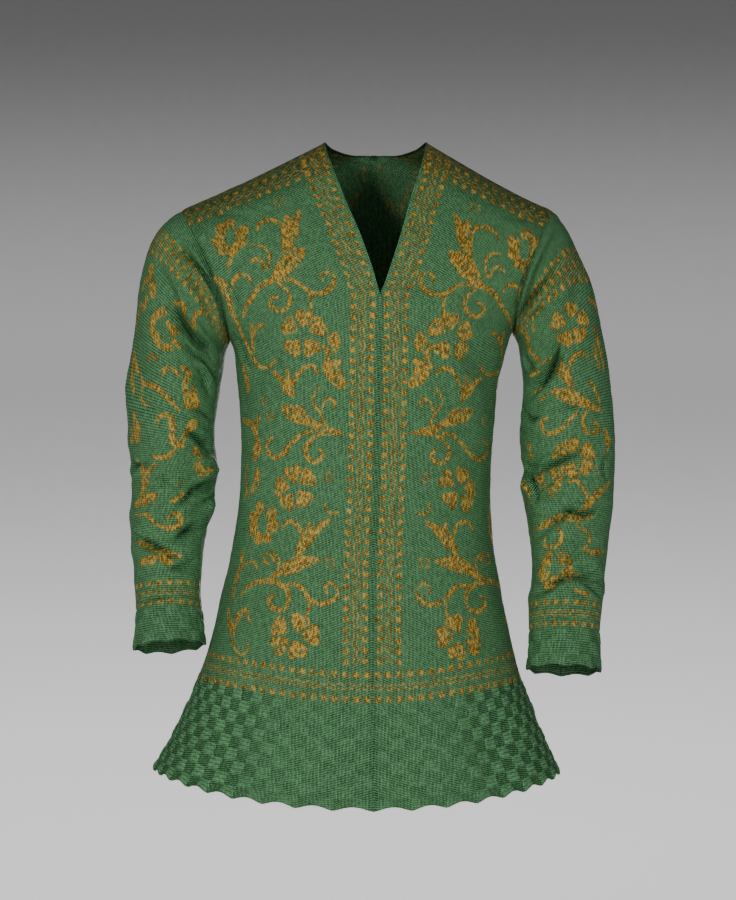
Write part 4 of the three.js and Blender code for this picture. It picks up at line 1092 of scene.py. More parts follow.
@dataclass
class BodyHalf:
    """Half of the body's front or back, from the middle to the side."""

    side: Side
    face: Face
    columns: int = 176
    basket_rows: int = 84
    plain_rows: int = 200
    armhole_rows: int = 132
    edge_bead: float = 0.7  # the knitted edging of the opening stands out by this
    edge_width: float = 4.2
    edge_wall: float = 0.8  # the wall is this thin where a sleeve is sewn on
    gather: float = 0.5  # how much closer the columns are at the middle
    hem_ripple: float = 0.9
    neck_fill: float = 2.4
    shoulder_border: float = 62.5  # how far down the border reaches at the neck

    def levels(self) -> Array:
        """The rows' levels, from the hem up."""
        basket = -np.linspace(1, BASKET_START, self.basket_rows, endpoint=False)
        plain = -np.linspace(BASKET_START, 0, self.plain_rows, endpoint=False)
        return np.concatenate([basket, plain, np.linspace(0, ARMHOLE_STEPS, self.armhole_rows + 1)])

    def shares(self) -> Array:
        """The columns' shares of the way to the side."""
        even = np.linspace(0, 1, self.columns + 1)
        return (even + self.gather * even**2) / (1 + self.gather)

    def neck_row(self) -> int:
        """The row where the back's two halves part."""
        steps = self.armhole_rows * BACK_NECK_STEP // ARMHOLE_STEPS
        return self.basket_rows + self.plain_rows + steps

    def panel(self) -> Panel:
        """The panel, with its creases, relief and layout."""
        level, u = self.levels(), self.shares()
        points = body_points(self.side, self.face, level, u)
        level, u = np.meshgrid(level, u, indexing="ij")
        front = self.face is Face.FRONT
        across, along = walk(points, 1), walk(points[::-1], 0)[::-1]
        column = u * HEM_BLOCKS[self.side]
        basket = (-level - BASKET_START) / (1 - BASKET_START)
        row = np.clip(basket, 0, 1) * HEM_BLOCK_ROWS
        seam = across[:, -1:] - across
        open_edge = ramp(8.9, 9.4, level) if self.face is Face.BACK else 1.0

        normals = grid_normals(points, -self.side.value * self.face.value, False)
        normals[..., 1] *= ramp(0, 7, along)
        side_on = ramp(0, 7, seam) + ramp(0, 0.4, level) * (1 - ramp(0, 7, seam))
        normals[..., 1:] *= side_on[..., None]
        if self.face is Face.BACK:
            normals[..., 0] *= 1 - (1 - ramp(0, 6, across)) * (1 - open_edge)
        normals /= np.linalg.norm(normals, axis=-1, keepdims=True)
        sewn = (1 - ramp(0, SEWN_STRIP, seam)) * ramp(-0.01, 0.4, level)
        normals = toward(normals, sewn, armhole_normals(self.side, self.face, self.levels())[:, None])

        depth = np.zeros_like(u)
        for trough in (*BODY_TROUGHS[self.face], *BODY_CREASES[self.face]):
            depth += trough.depth(points[..., 0] - trough.around, points[..., 2] - trough.at)
        lift = -depth * (1 - ramp(0, 3, level)) * (1 - ramp(0.96, 1, u))
        folds = np.zeros_like(u)
        if front:
            folds = folded(points, normals, BODY_FOLDS[self.side])
            folds = folds * (1 - ramp(0.9, 1, u)) * ramp(0, 12, along)
        lift += folds
        lift += unevenness(points) * ramp(0, 12, along)
        amount = ramp(-0.01, 0.02, basket) * ramp(0, 5, seam) * (ramp(1, 6, across) if front else 1)
        relief = block_relief(column, row)
        soft = lift - EDGE_DROP * hump(seam, EDGE_WIDTH) - EDGE_DROP * hump(along, EDGE_WIDTH)
        roll = ARMHOLE_ROLL * hump(seam - SEAM_ROLL_AT, SEAM_ROLL_WIDTH)
        soft += (roll - ARMHOLE_DIP * hump(seam, SEAM_DIP_WIDTH)) * ramp(-0.05, 0.8, level)
        bead = np.cos(np.clip(across / self.edge_width, 0, 1) * math.pi / 2) ** 2
        lift = soft + self.edge_bead * bead * ramp(0, 0.9, across) * open_edge
        lift += BLOCK_RELIEF * relief * amount
        lift += self.hem_ripple * np.sin(column * math.pi + 1.0) * ramp(0.8, 1, basket) * ramp(0, 8, seam)
        points[..., 2] += scallop(column, SCALLOP_DEPTH) * ramp(0.86, 1, basket)
        if not front:  # fills the small dip where the halves part
            points[..., 2] += self.neck_fill * hump(points[..., 0], 2.6) * ramp(8.4, 9.0, level)
        wall = CLOTH - (CLOTH - self.edge_wall) * (1 - ramp(0, THIN_STRIP, seam)) * ramp(-0.01, 0.01, level)
        outer = points + normals * lift[..., None]

        climb = walk(points, 0)
        climb = climb - climb[self.basket_rows] + 9.0 * ramp(0.3, 1, u)
        # the blocks' light and dark is the knit's own; its growth towards the sides is painted light
        block_contrast_and_painted_side_light = amount * (0.45 + 1.15 * ramp(0.26, 0.52, u))
        # painted shade along the armhole seam on the body, from the underarm part way up
        armpit_painted_shade = ARMPIT_SHADE * hump(seam, 6.0) * ramp(-0.01, 1, level) * (1 - ramp(5, 11, level))
        shoulder = self.shoulder_border - 9 * (across / 130) ** 2.2 - along
        return Panel(
            points=outer,
            normals=normals,
            inner_lift=soft - lift - wall,
            place=np.stack([across * self.side.value, along], -1),
            brocade=np.full_like(u, NO_FIGURE),
            painted_shade_depth=np.maximum(-folds, 0) + armpit_painted_shade,
            front_band=np.stack([across + (0 if front else NO_BORDER), walk(points, 0)], -1),
            level_band=np.stack([climb, across], -1),
            top_band=np.stack([shoulder, across, 0 * u + 90], -1),
            blocks=np.stack([relief, row, block_contrast_and_painted_side_light], -1),
            kept_rows=(self.neck_row(),),
        )

    def copy_from(self, panel: Panel, front: Panel, shift: float = 30.0) -> None:
        """Repeats the front's figures, row by row, folded back at its width.

        Args:
            panel: this half's panel.
            front: the front's panel of the same side, with as many rows.
            shift: how far from the front's edge the middle of the back begins.
        """
        for row in range(panel.brocade.shape[0]):
            have = front.level_band[row, :, 1]
            want = np.abs(panel.level_band[row, :, 1] + shift)
            width = have[-1]
            want = np.where(want > width, 2 * width - want, want)
            panel.brocade[row] = np.interp(want, have, front.brocade[row])


def chart_of(points: Array, normals: Array) -> Chart:
    """The chart laid on a grid of points, as seen from straight in front."""
    near = VIEW_DISTANCE / (VIEW_DISTANCE + points[..., 1])
    column = VIEW_COLUMN + (points[..., 0] / CHART_SQUARE + CHART_MIDDLE - VIEW_COLUMN) * near
    row = VIEW_ROW + (CHART_TOP - points[..., 2] / CHART_SQUARE - VIEW_ROW) * near
    seen = np.stack([column, row], -1).reshape(-1, 2)
    return Chart(points.reshape(-1, 3), normals.reshape(-1, 3), seen)


def folded(points: Array, normals: Array, folds: tuple[Fold | Bulge, ...]) -> Array:
    """How far folds lift the points of a grid."""
    chart = chart_of(points, normals)
    return sum(chart.press(fold) for fold in folds).reshape(points.shape[:2])


def brocade(panel: Panel, figures: tuple[Figure, ...]) -> None:
    """Measures a panel's distances to the figures of the chart."""
    chart = chart_of(panel.points, panel.normals)
    for figure in figures:
        chart.draw(figure)
    panel.brocade = chart.distance.reshape(panel.brocade.shape)


@dataclass
class Sleeve:
    """A long sleeve in rings, from the armhole to the cuff's scalloped edge."""

    side: Side
    columns: int = 192
    rows: int = 330
    armhole_wall: float = 0.8
    back_folds: float = 0.85  # the depth of the folds at the back against the front's
    cuff_groove: float = 0.7  # the cloth is drawn in above the cuff
    cuff_ripple: float = 0.5

    def panel(self) -> Panel:
        """The panel, with its creases, relief and layout."""
        last = SLEEVE[self.side].count - 1
        turn = np.arange(self.columns) * 360 / self.columns
        section, turn = np.meshgrid(np.linspace(0, last, self.rows + 1), turn, indexing="ij")
        points = sleeve_points(self.side, section, turn)
        down = section * SECTION_SPACING
        level = np.abs(turn[0] - 180) / 180 * ARMHOLE_STEPS
        front_half = (turn[0] <= 180)[:, None]
        sewn_to = [armhole_normals(self.side, face, level) for face in Face]
        around = walk(np.concatenate([points, points[:, :1]], 1), 1)
        around = np.minimum(around[:, :-1], around[:, -1:] - around[:, :-1])
        normals = grid_normals(points, self.side.value, True)
        normals = toward(normals, 1 - ramp(0, SEWN_STRIP, down), np.where(front_half, *sewn_to)[None])

        depth = np.zeros_like(turn)
        for trough in (*SLEEVE_TROUGHS[self.side], *SLEEVE_CREASES[self.side]):
            apart = (turn - trough.around + 180) % 360 - 180
            across = -self.side.value * np.radians(apart) * ARM_RADIUS
            depth += trough.depth(across, (trough.at - section) * SECTION_SPACING)
        lift = -depth * ramp(0, 0.5, section) * (1 - ramp(last - 1, last, section))
        folds = folded(points, normals, SLEEVE_FOLDS[self.side])
        half = self.columns // 2
        folds[:, half + 1 :] = self.back_folds * folds[:, 1:half][:, ::-1]
        folds *= ramp(0, 0.35, section) * (1 - ramp(last - 0.9, last - 0.4, section))
        lift += folds
        lift += unevenness(points) * ramp(0, 0.4, section)

        cuff = (down - last * SECTION_SPACING) / CUFF_LENGTH + 1
        column = turn / 360 * CUFF_BLOCKS
        row = np.clip(cuff, 0, 1) * CUFF_BLOCK_ROWS
        amount = ramp(-0.02, 0.05, cuff)
        relief = block_relief(column, row)
        soft = lift - EDGE_DROP * hump(down, EDGE_WIDTH) - ARMHOLE_DIP * hump(down, SEAM_DIP_WIDTH)
        soft += 1.3 * ARMHOLE_ROLL * hump(down - SEAM_ROLL_AT, SEAM_ROLL_WIDTH)
        soft -= self.cuff_groove * hump(cuff * CUFF_LENGTH, 2.2)
        lift = soft + BLOCK_RELIEF * relief * amount
        near_hem = ramp(0.66, 1, cuff)
        lift += self.cuff_ripple * np.sin(column * math.pi + 1.0) * near_hem
        axis = points[-1:] - points[-9:-8]
        axis = axis / np.linalg.norm(axis, axis=-1, keepdims=True)
        points -= axis * (scallop(column, CUFF_SCALLOP_DEPTH) * near_hem)[..., None]
        wall = CLOTH - (CLOTH - self.armhole_wall) * (1 - ramp(0, THIN_STRIP, down))
        zeros = np.zeros_like(down)
        from_below = level / ARMHOLE_STEPS
        # painted shade along the armhole seam on the sleeve, strongest low down
        armpit_painted_shade = ARMPIT_SHADE * hump(down, 7.0) * (1 - ramp(0.42, 0.9, from_below))
        slant = (2 + (34 if self.side is Side.RIGHT else 55) * from_below)[None]
        spread = 1.0 if self.side is Side.RIGHT else (0.35 + 0.85 * ramp(0, 0.35, from_below))[None]
        return Panel(
            points=points + normals * lift[..., None],
            normals=normals,
            inner_lift=soft - lift - wall,
            place=np.stack([around, down], -1),
            brocade=zeros + NO_FIGURE,
            painted_shade_depth=np.maximum(-folds, 0) + armpit_painted_shade,
            front_band=np.stack([zeros + NO_BORDER, down], -1),
            level_band=np.stack([-cuff * CUFF_LENGTH * 1.1, around], -1),
            top_band=np.stack([21.2 - (down - slant) / spread, around, zeros + 24.5], -1),
            blocks=np.stack([relief, row, 0.4 * amount], -1),
            wraps=True,
        )

    def fold_over(self, panel: Panel) -> None:
        """Repeats the front's figures on the back, about the sleeve's outer line."""
        half = self.columns // 2
        panel.brocade[:, half + 1 :] = panel.brocade[:, 1:half][:, ::-1]


# ------------------------------------------------------------------ finishes


@dataclass(frozen=True)
class KnitFinish:
    """A silk knit brocaded with gilt thread; colours are linear."""

    name: str
    # the light and dark silk colours serve as painted highlight on raised stitch legs and painted shade in
    # the gaps and folds, and as stitch-to-stitch tone
    silk: Triple = (0.068, 0.215, 0.074)
    silk_pale_and_painted_highlight: Triple = (0.250, 0.610, 0.280)
    silk_dark_and_painted_shade: Triple = (0.007, 0.040, 0.007)
    # the bright and dark gilt colours serve as painted glints and painted shade on the stitches, and as
    # stitch-to-stitch tone
    gilt: Triple = (0.62, 0.335, 0.030)
    gilt_dull_and_painted_shade: Triple = (0.085, 0.058, 0.006)
    gilt_bright_and_painted_glint: Triple = (1.0, 0.67, 0.15)
    silk_roughness: float = 0.58
    gilt_roughness: float = 0.44
    gilt_metal: float = 0.25
    wale: float = 2.9
    course: float = 2.5
    relief: float = 0.30
    sheen: float = 0.03
    sheen_roughness: float = 0.45
    sheen_tint: Triple = (0.55, 0.95, 0.62)
    specular: float = 0.22
    ragged: float = 2.6  # how far a stitch at a figure's edge comes or goes
    slow_warp: float = 2.4  # how far the figures' outlines drift
    quick_warp: float = 1.6
    pitch: float = 11.3  # from dot to dot along a border
    rope: float = 3.3  # from twist to twist along the knitted edging


@dataclass(frozen=True)
class Border:
    """Where a border's dots, zigzags and thin lines lie across it, in millimetres."""

    dots: tuple[float, float]
    zigzags: tuple[float, float]
    lines: tuple[float, float]


FRONT_BORDER = Border((7.5, 27.5), (15.4, 19.6), (10.6, 24.4))
LEVEL_BORDER = Border((3.4, 29.2), (14.0, 18.4), (6.4, 26.2))
TOP_BORDER = Border((0.0, 0.0), (8.2, 8.2), (4.4, 4.4))
TOP_BORDER_STEP = 5.3  # half the way to a sleeve's next row of dots, and twice that on the body
OFF_BORDER = 99.0  # millimetres, farther than any border reaches


class Wire:
    """A value in a node tree, which arithmetic turns into more nodes."""

    def __init__(self, tree: NodeTree, socket: Socket | float) -> None:
        """Holds a socket or a number."""
        self.tree = tree
        self.socket = socket

    def plug(self, target: Socket) -> None:
        """Feeds a socket with this value."""
        if isinstance(self.socket, (int, float)):
            target.default_value = self.socket
        else:
            self.tree.links.new(self.socket, target)

    def math(self, operation: str, *others: "Wire | float") -> "Wire":
        """A Math node of this value and others."""
        node = self.tree.nodes.new("ShaderNodeMath")
        node.operation = operation
        self.plug(node.inputs[0])
        for index, other in enumerate(others, 1):
            (other if isinstance(other, Wire) else Wire(self.tree, other)).plug(node.inputs[index])
        return Wire(self.tree, node.outputs[0])

    def __add__(self, other: "Wire | float") -> "Wire":
        """The sum."""
        return self.math("ADD", other)

    def __sub__(self, other: "Wire | float") -> "Wire":
        """The difference."""
        return self.math("SUBTRACT", other)

    def __mul__(self, other: "Wire | float") -> "Wire":
        """The product."""
        return self.math("MULTIPLY", other)

    def __truediv__(self, other: "Wire | float") -> "Wire":
        """The quotient."""
        return self.math("DIVIDE", other)

    def __neg__(self) -> "Wire":
        """The value turned about nought."""
        return self.math("MULTIPLY", -1.0)

    def __abs__(self) -> "Wire":
        """The size without its sign."""
        return self.math("ABSOLUTE")

    def least(self, other: "Wire | float") -> "Wire":
        """The smaller value."""
        return self.math("MINIMUM", other)

    def most(self, other: "Wire | float") -> "Wire":
        """The larger value."""
        return self.math("MAXIMUM", other)

    def part(self) -> "Wire":
        """What is left above the whole number."""
        return self.math("FRACT")

    def whole(self) -> "Wire":
        """The whole number below."""
        return self.math("FLOOR")

    def bounce(self, length: "Wire | float") -> "Wire":
        """The value folded to and fro between 0 and a length."""
        return self.math("PINGPONG", length)

    def root(self) -> "Wire":
        """The square root."""
        return self.math("SQRT")

    def wave(self) -> "Wire":
        """The sine."""
        return self.math("SINE")

    def rise(self, low: float, high: float) -> "Wire":
        """A smooth step from 0 at low to 1 at high; from 1 to 0 if high is the lower."""
        node = self.tree.nodes.new("ShaderNodeMapRange")
        node.interpolation_type = "SMOOTHSTEP"
        self.plug(node.inputs["Value"])
        turned = high < low
        node.inputs["From Min"].default_value = min(low, high)
        node.inputs["From Max"].default_value = max(low, high)
        node.inputs["To Min"].default_value = 1.0 if turned else 0.0
        node.inputs["To Max"].default_value = 0.0 if turned else 1.0
        return Wire(self.tree, node.outputs["Result"])


class Graph:
    """Makes nodes in one tree."""

    def __init__(self, tree: NodeTree) -> None:
        """Works in a tree."""
        self.tree = tree

    def attribute(self, name: str) -> Socket:
        """The vector of a mesh's attribute."""
        node = self.tree.nodes.new("ShaderNodeAttribute")
        node.attribute_name = name
        return node.outputs["Vector"]

    def object_place(self) -> Socket:
        """The place in the object's own frame, in metres."""
        return self.tree.nodes.new("ShaderNodeTexCoord").outputs["Object"]

    def split(self, vector: Socket) -> tuple[Wire, Wire, Wire]:
        """A vector's three values."""
        node = self.tree.nodes.new("ShaderNodeSeparateXYZ")
        self.tree.links.new(vector, node.inputs[0])
        return tuple(Wire(self.tree, out) for out in node.outputs)

    def join(self, x: Wire, y: Wire, z: Wire | float = 0.0) -> Socket:
        """A vector of three values."""
        node = self.tree.nodes.new("ShaderNodeCombineXYZ")
        for value, target in zip((x, y, z), node.inputs):
            (value if isinstance(value, Wire) else Wire(self.tree, value)).plug(target)
        return node.outputs[0]

    def chance(self, vector: Socket) -> Wire:
        """A value from 0 to 1 that changes from cell to cell."""
        node = self.tree.nodes.new("ShaderNodeTexWhiteNoise")
        node.noise_dimensions = "3D"
        self.tree.links.new(vector, node.inputs["Vector"])
        return Wire(self.tree, node.outputs["Value"])

    def cloud(self, vector: Socket, scale: float, detail: float = 2.0) -> Wire:
        """Soft noise from 0 to 1."""
        node = self.tree.nodes.new("ShaderNodeTexNoise")
        self.tree.links.new(vector, node.inputs["Vector"])
        node.inputs["Scale"].default_value = scale
        node.inputs["Detail"].default_value = detail
        return Wire(self.tree, node.outputs[0])

    def blend(self, share: Wire, a: object, b: object) -> Socket:
        """A colour between two, which are sockets or colours."""
        node = self.tree.nodes.new("ShaderNodeMix")
        node.data_type = "RGBA"
        share.plug(node.inputs[0])
        for colour, target in ((a, node.inputs[6]), (b, node.inputs[7])):
            if isinstance(colour, Socket):
                self.tree.links.new(colour, target)
            else:
                target.default_value = (*colour, 1.0)
        return node.outputs[2]

    def group(self, tree: NodeTree, **values: object) -> dict[str, Socket]:
        """Places a shared group.

        Args:
            tree: the group.
            values: its inputs by name, with _ for a space; a socket, a Wire, a number or a colour.

        Returns:
            Its outputs by name.
        """
        node = self.tree.nodes.new("ShaderNodeGroup")
        node.node_tree = tree
        for name, value in values.items():
            target = node.inputs[name.replace("_", " ")]
            if isinstance(value, Wire):
                value.plug(target)
            elif isinstance(value, Socket):
                self.tree.links.new(value, target)
            else:
                target.default_value = (*value, 1.0) if isinstance(value, tuple) else value
        return {out.name: out for out in node.outputs}


class SharedGroup:
    """A shader node group with named sockets, built once."""

    KINDS = {"float": "NodeSocketFloat", "vector": "NodeSocketVector", "colour": "NodeSocketColor"}

    def __init__(self, name: str, inputs: dict[str, str], outputs: dict[str, str]) -> None:
        """Makes the sockets.

        Args:
            name: the group's name.
            inputs: the kind of each input, by name.
            outputs: the kind of each output, by name.
        """
        self.tree = bpy.data.node_groups.new(name, "ShaderNodeTree")
        for way, sockets in (("INPUT", inputs), ("OUTPUT", outputs)):
            for label, kind in sockets.items():
                self.tree.interface.new_socket(label, in_out=way, socket_type=self.KINDS[kind])
        self.graph = Graph(self.tree)
        self.source = self.tree.nodes.new("NodeGroupInput")
        self.sink = self.tree.nodes.new("NodeGroupOutput")

    def value(self, name: str) -> Wire:
        """An input's value."""
        return Wire(self.tree, self.source.outputs[name])

    def socket(self, name: str) -> Socket:
        """An input's socket."""
        return self.source.outputs[name]

    def give(self, name: str, value: Wire | Socket) -> None:
        """Feeds an output."""
        socket = value.socket if isinstance(value, Wire) else value
        self.tree.links.new(socket, self.sink.inputs[name])


def stitch_courses() -> NodeTree:
    """Rows of knitted V stitches: their height, a value for each stitch and the purl side's bumps."""
    made = SharedGroup(
        "Stitch Courses",
        {"Place": "vector", "Wale": "float", "Course": "float"},
        {"Height": "float", "Cell": "float", "Purl": "float"},
    )
    graph = made.graph
    across, along, _ = graph.split(made.socket("Place"))
    wale = across / made.value("Wale")
    lean = abs(wale.part() - 0.5)
    course = along / made.value("Course") - lean * 1.15
    leg = (abs(lean - 0.25) * 4.0).rise(0.95, 0.15)
    loop = abs(course.part() - 0.5).rise(0.50, 0.14)
    made.give("Height", leg * (loop * 0.8 + 0.2))
    made.give("Cell", graph.chance(graph.join((wale * 2.0).whole(), course.whole())))
    rib = (course * math.tau).wave() * 0.5 + 0.5
    hump = (wale * math.tau).wave() * 0.2 + 0.8
    made.give("Purl", rib * hump)
    return made.tree


def gilt_border() -> NodeTree:
    """A border of petalled dots, zigzags and thin lines, as distances below nought inside them."""
    names = ("Across", "Along", "Pitch", "Dots 1", "Dots 2", "Zigzag 1", "Zigzag 2", "Line 1", "Line 2")
    inputs = dict.fromkeys(names, "float")
    made = SharedGroup("Gilt Border", inputs, {"Distance": "float", "Line": "float"})
    dot_half, dot_hollow, dot_growth = 1.2, -0.6, 2.2  # a small square, then grown round
    line_half, zigzag_half, swing = 0.5, 1.25, 4.2
    across = made.value("Across")
    cell = (made.value("Along") / made.value("Pitch")).part() - 0.5
    up = (abs(cell) * made.value("Pitch") - dot_half).most(dot_hollow)
    dots = Wire(made.tree, OFF_BORDER)
    for name in ("Dots 1", "Dots 2"):
        off = (abs(across - made.value(name)) - dot_half).most(dot_hollow)
        dots = dots.least((off * off + up * up).root())
    thin = abs(across - made.value("Line 1")).least(abs(across - made.value("Line 2"))) - line_half
    bend = abs((cell + 0.5) * 2.0 - 1.0) * swing - swing / 2
    for name in ("Zigzag 1", "Zigzag 2"):
        thin = thin.least(abs(across - made.value(name) - bend * 0.62) - zigzag_half)
    made.give("Distance", dots - dot_growth)
    made.give("Line", thin)
    return made.tree


def basket_knit() -> NodeTree:
    """The basket knit's shade from dark to light, with painted shade between the fine ridges of its raised
    blocks, and those ridges.
    """
    made = SharedGroup("Basket Knit", {"Blocks": "vector"}, {"Shade": "float", "Ridges": "float"})
    relief, row, amount = made.graph.split(made.socket("Blocks"))
    raised = relief.rise(-0.3, 0.3)
    ridge = (row * (math.tau * 3.0)).wave() * 0.5 + 0.5
    made.give("Shade", (raised * (ridge * 0.9 + 0.9) - 0.85) * amount)
    made.give("Ridges", ridge * raised * amount)
    return made.tree


def silk_wear_and_painted_light() -> NodeTree:
    """Silk whose colour drifts over the garment and changes a little from stitch to stitch, lighter on the
    stitches' raised legs as painted highlight and darker in their gaps and under the given shade as painted
    shade.
    """
    made = SharedGroup(
        "Silk Wear And Painted Light",
        {
            "Silk": "colour",
            "Light": "colour",
            "Dark": "colour",
            "Cell": "float",
            "Height": "float",
            "Shade": "float",
        },
        {"Colour": "colour"},
    )
    graph = made.graph
    place = graph.object_place()
    drift = graph.cloud(place, 9.0, 3.0) * 0.7 + graph.cloud(place, 46.0) * 0.3 - 0.5
    # painted light and shade: the stitches' height turns them light or dark, mixed with tone that differs
    # from stitch to stitch
    light = made.value("Height") * 5.2 - 1.85 + (made.value("Cell") - 0.5) * 2.0 + drift + made.value("Shade")
    colour = graph.blend(light.rise(-1.0, 0.1), made.socket("Dark"), made.socket("Silk"))
    made.give("Colour", graph.blend(light.rise(0.0, 1.1), colour, made.socket("Light")))
    return made.tree


def gilt_thread() -> NodeTree:
    """Gilt thread wound on silk, dull and bright by turns, with silk showing in some stitches; raised stitch
    legs are brighter as painted glints and the gaps darker as painted shade.
    """
    made = SharedGroup(
        "Gilt Thread",
        {"Gilt": "colour", "Light": "colour", "Dark": "colour", "Cell": "float", "Height": "float"},
        {"Colour": "colour"},
    )
    graph = made.graph
    place = graph.object_place()
    worn = graph.cloud(place, 60.0, 3.0)
    # painted light: the stitches' height makes them brighter, mixed with tone that differs from stitch to
    # stitch
    tone = made.value("Cell") * 1.5 - 0.72 + made.value("Height") * 1.2 + (worn - 0.5) * 0.6
    colour = graph.blend(tone.rise(-0.05, 0.45), made.socket("Dark"), made.socket("Gilt"))
    made.give("Colour", graph.blend(tone.rise(0.5, 1.15), colour, made.socket("Light")))
    return made.tree


class Weave:
    """A material in the making, with what its parts share."""

    def __init__(self, maker: "KnitMaker", finish: KnitFinish) -> None:
        """Starts the material and reads the cloth's layout.

        Args:
            maker: holds the shared groups.
            finish: the material's colours and sizes.
        """
        self.maker = maker
        self.finish = finish
        self.material = bpy.data.materials.new(finish.name)
        self.material.use_nodes = True
        self.tree = self.material.node_tree
        self.graph = graph = Graph(self.tree)
        self.place = graph.attribute("place")
        self.reverse = graph.split(self.place)[2].rise(0.3, 0.7)  # 1 on the inner face
        self.face = -self.reverse + 1.0
        knit = graph.group(maker.stitches, Place=self.place, Wale=finish.wale, Course=finish.course)
        self.cell, self.height, self.purl = (Wire(self.tree, knit[key]) for key in ("Cell", "Height", "Purl"))
        block = graph.group(maker.basket, Blocks=graph.attribute("blocks"))
        self.block_shade, self.ridges = Wire(self.tree, block["Shade"]), Wire(self.tree, block["Ridges"])
        self.front_across, self.front_along, _ = graph.split(graph.attribute("front_band"))
        self.top_across, self.top_along, self.top_width = graph.split(graph.attribute("top_band"))
        self.on_body = self.top_width.rise(60.0, 80.0)  # 0 on a sleeve, whose border is narrower
        # the brocade attribute's second value sets how deep the painted shade is
        self.figures, hollow, _ = graph.split(graph.attribute("brocade"))
        self.painted_shade = hollow.rise(1.0, 6.0) * self.face  # painted shade: 1 deep in a fold and at the armhole seam
        self.edging = self.front_across.rise(5.0, 4.2) * self.face
        twist = self.front_along * (math.tau / finish.rope) + self.front_across * 1.1
        self.rope = twist.wave() * 0.5 + 0.5

    def border(self, across: Wire, along: Wire, border: Border) -> tuple[Wire, Wire]:
        """Places a border.

        Args:
            across: millimetres across it.
            along: millimetres along it.
            border: what lies where.

        Returns:
            The distances to its dots and to its lines.
        """
        places = {}
        for label, pair in (("Dots", border.dots), ("Zigzag", border.zigzags), ("Line", border.lines)):
            places |= {f"{label}_1": pair[0], f"{label}_2": pair[1]}
        pitch = self.finish.pitch
        made = self.graph.group(self.maker.border, Across=across, Along=along, Pitch=pitch, **places)
        return Wire(self.tree, made["Distance"]), Wire(self.tree, made["Line"])

    def borders(self) -> tuple[Wire, Wire]:
        """The distances to the nearest dots and to the nearest lines of all the borders."""
        level_across, level_along, _ = self.graph.split(self.graph.attribute("level_band"))
        top_across = self.top_across
        outside = (-top_across - 3.0).most(top_across - self.top_width).rise(0.0, 0.4)
        rows_across = top_across.bounce(self.on_body * TOP_BORDER_STEP + TOP_BORDER_STEP)
        ended = (-level_across.rise(37.5, 38.5) + 1.0) * 50.0  # the front's border ends above the hem's
        dots, lines = self.border(self.front_across, self.front_along, FRONT_BORDER)
        level_dots, level_lines = self.border(level_across, level_along, LEVEL_BORDER)
        top_dots, top_lines = self.border(rows_across + outside * OFF_BORDER, self.top_along, TOP_BORDER)
        dots = (dots + ended).least(level_dots).least(top_dots)
        return dots, (lines + ended).least(level_lines).least(top_lines + outside * 9.0)

    def gilding(self) -> Wire:
        """How far each stitch is gilt, from 0 to 1; some have lost their gilt, and the gilt thins under the
        painted shade in the folds and armholes.
        """
        finish, cell = self.finish, self.cell
        ragged = (cell - 0.5) * finish.ragged
        warp = (self.graph.cloud(self.place, 0.16) - 0.5) * finish.slow_warp
        warp = warp + (self.graph.cloud(self.place, 0.5) - 0.5) * finish.quick_warp
        dots, lines = self.borders()
        thick = ((self.figures + warp).least(dots + 0.1) + ragged * 0.75).rise(0.35, -0.35)
        thick = thick * ((cell * 7.3).part().rise(0.14, 0.24) * 0.9 + 0.1)
        thin = (lines + ragged * 0.6).rise(0.5, -0.4) * ((cell * 5.7).part() * 0.8 + 0.15)
        # painted shade thins the gilt deep in the folds and at the armhole seams
        return thick.most(thin) * (self.face * 0.72 + 0.28) * (-self.painted_shade * 0.4 + 1.0)

    def shade(self) -> Wire:
        """How far the silk is lighter or darker than its stitches make it: the basket blocks, the inner face,
        the edging, and painted shade over the shoulders, in the folds, at the armholes and below the neck
        opening.
        """
        # painted shade: the body's ground darkens over the shoulders and stops at the armhole seam
        shoulder = self.top_across.rise(-26.0, 22.0) * self.on_body
        # painted shadow: the edging darkens in the middle of the closed front below the neck opening; above
        # it the edging is lighter, brighter on its twists as painted highlight
        painted_shadow_below_neck = self.graph.split(self.graph.object_place())[2].rise(-0.158, -0.172)
        edge = self.edging * (self.rope * 0.4 + 0.05 - painted_shadow_below_neck * 0.75)
        return self.block_shade - self.reverse * 0.25 + edge - shoulder * 2.0 - self.painted_shade * 2.1

    def dye(self, gold: Wire) -> None:
        """Colours the silk and the gilt thread, and sets how they shine."""
        finish, stitches = self.finish, {"Cell": self.cell, "Height": self.height}
        silks = {"Silk": finish.silk, "Light": finish.silk_pale_and_painted_highlight, "Dark": finish.silk_dark_and_painted_shade}
        gilts = {"Gilt": finish.gilt, "Light": finish.gilt_bright_and_painted_glint, "Dark": finish.gilt_dull_and_painted_shade}
        silk = self.graph.group(self.maker.silk, Shade=self.shade(), **stitches, **silks)["Colour"]
        gilt = self.graph.group(self.maker.thread, **stitches, **gilts)["Colour"]
        inputs = self.tree.nodes["Principled BSDF"].inputs
        self.tree.links.new(self.graph.blend(gold, silk, gilt), inputs["Base Color"])
        rough = gold * (finish.gilt_roughness - finish.silk_roughness) + finish.silk_roughness
        (rough + (self.cell - 0.5) * 0.12).plug(inputs["Roughness"])
        (gold * finish.gilt_metal).plug(inputs["Metallic"])
        inputs["Sheen Weight"].default_value = finish.sheen
        inputs["Sheen Roughness"].default_value = finish.sheen_roughness
        inputs["Sheen Tint"].default_value = (*finish.sheen_tint, 1.0)
        inputs["Specular IOR Level"].default_value = finish.specular

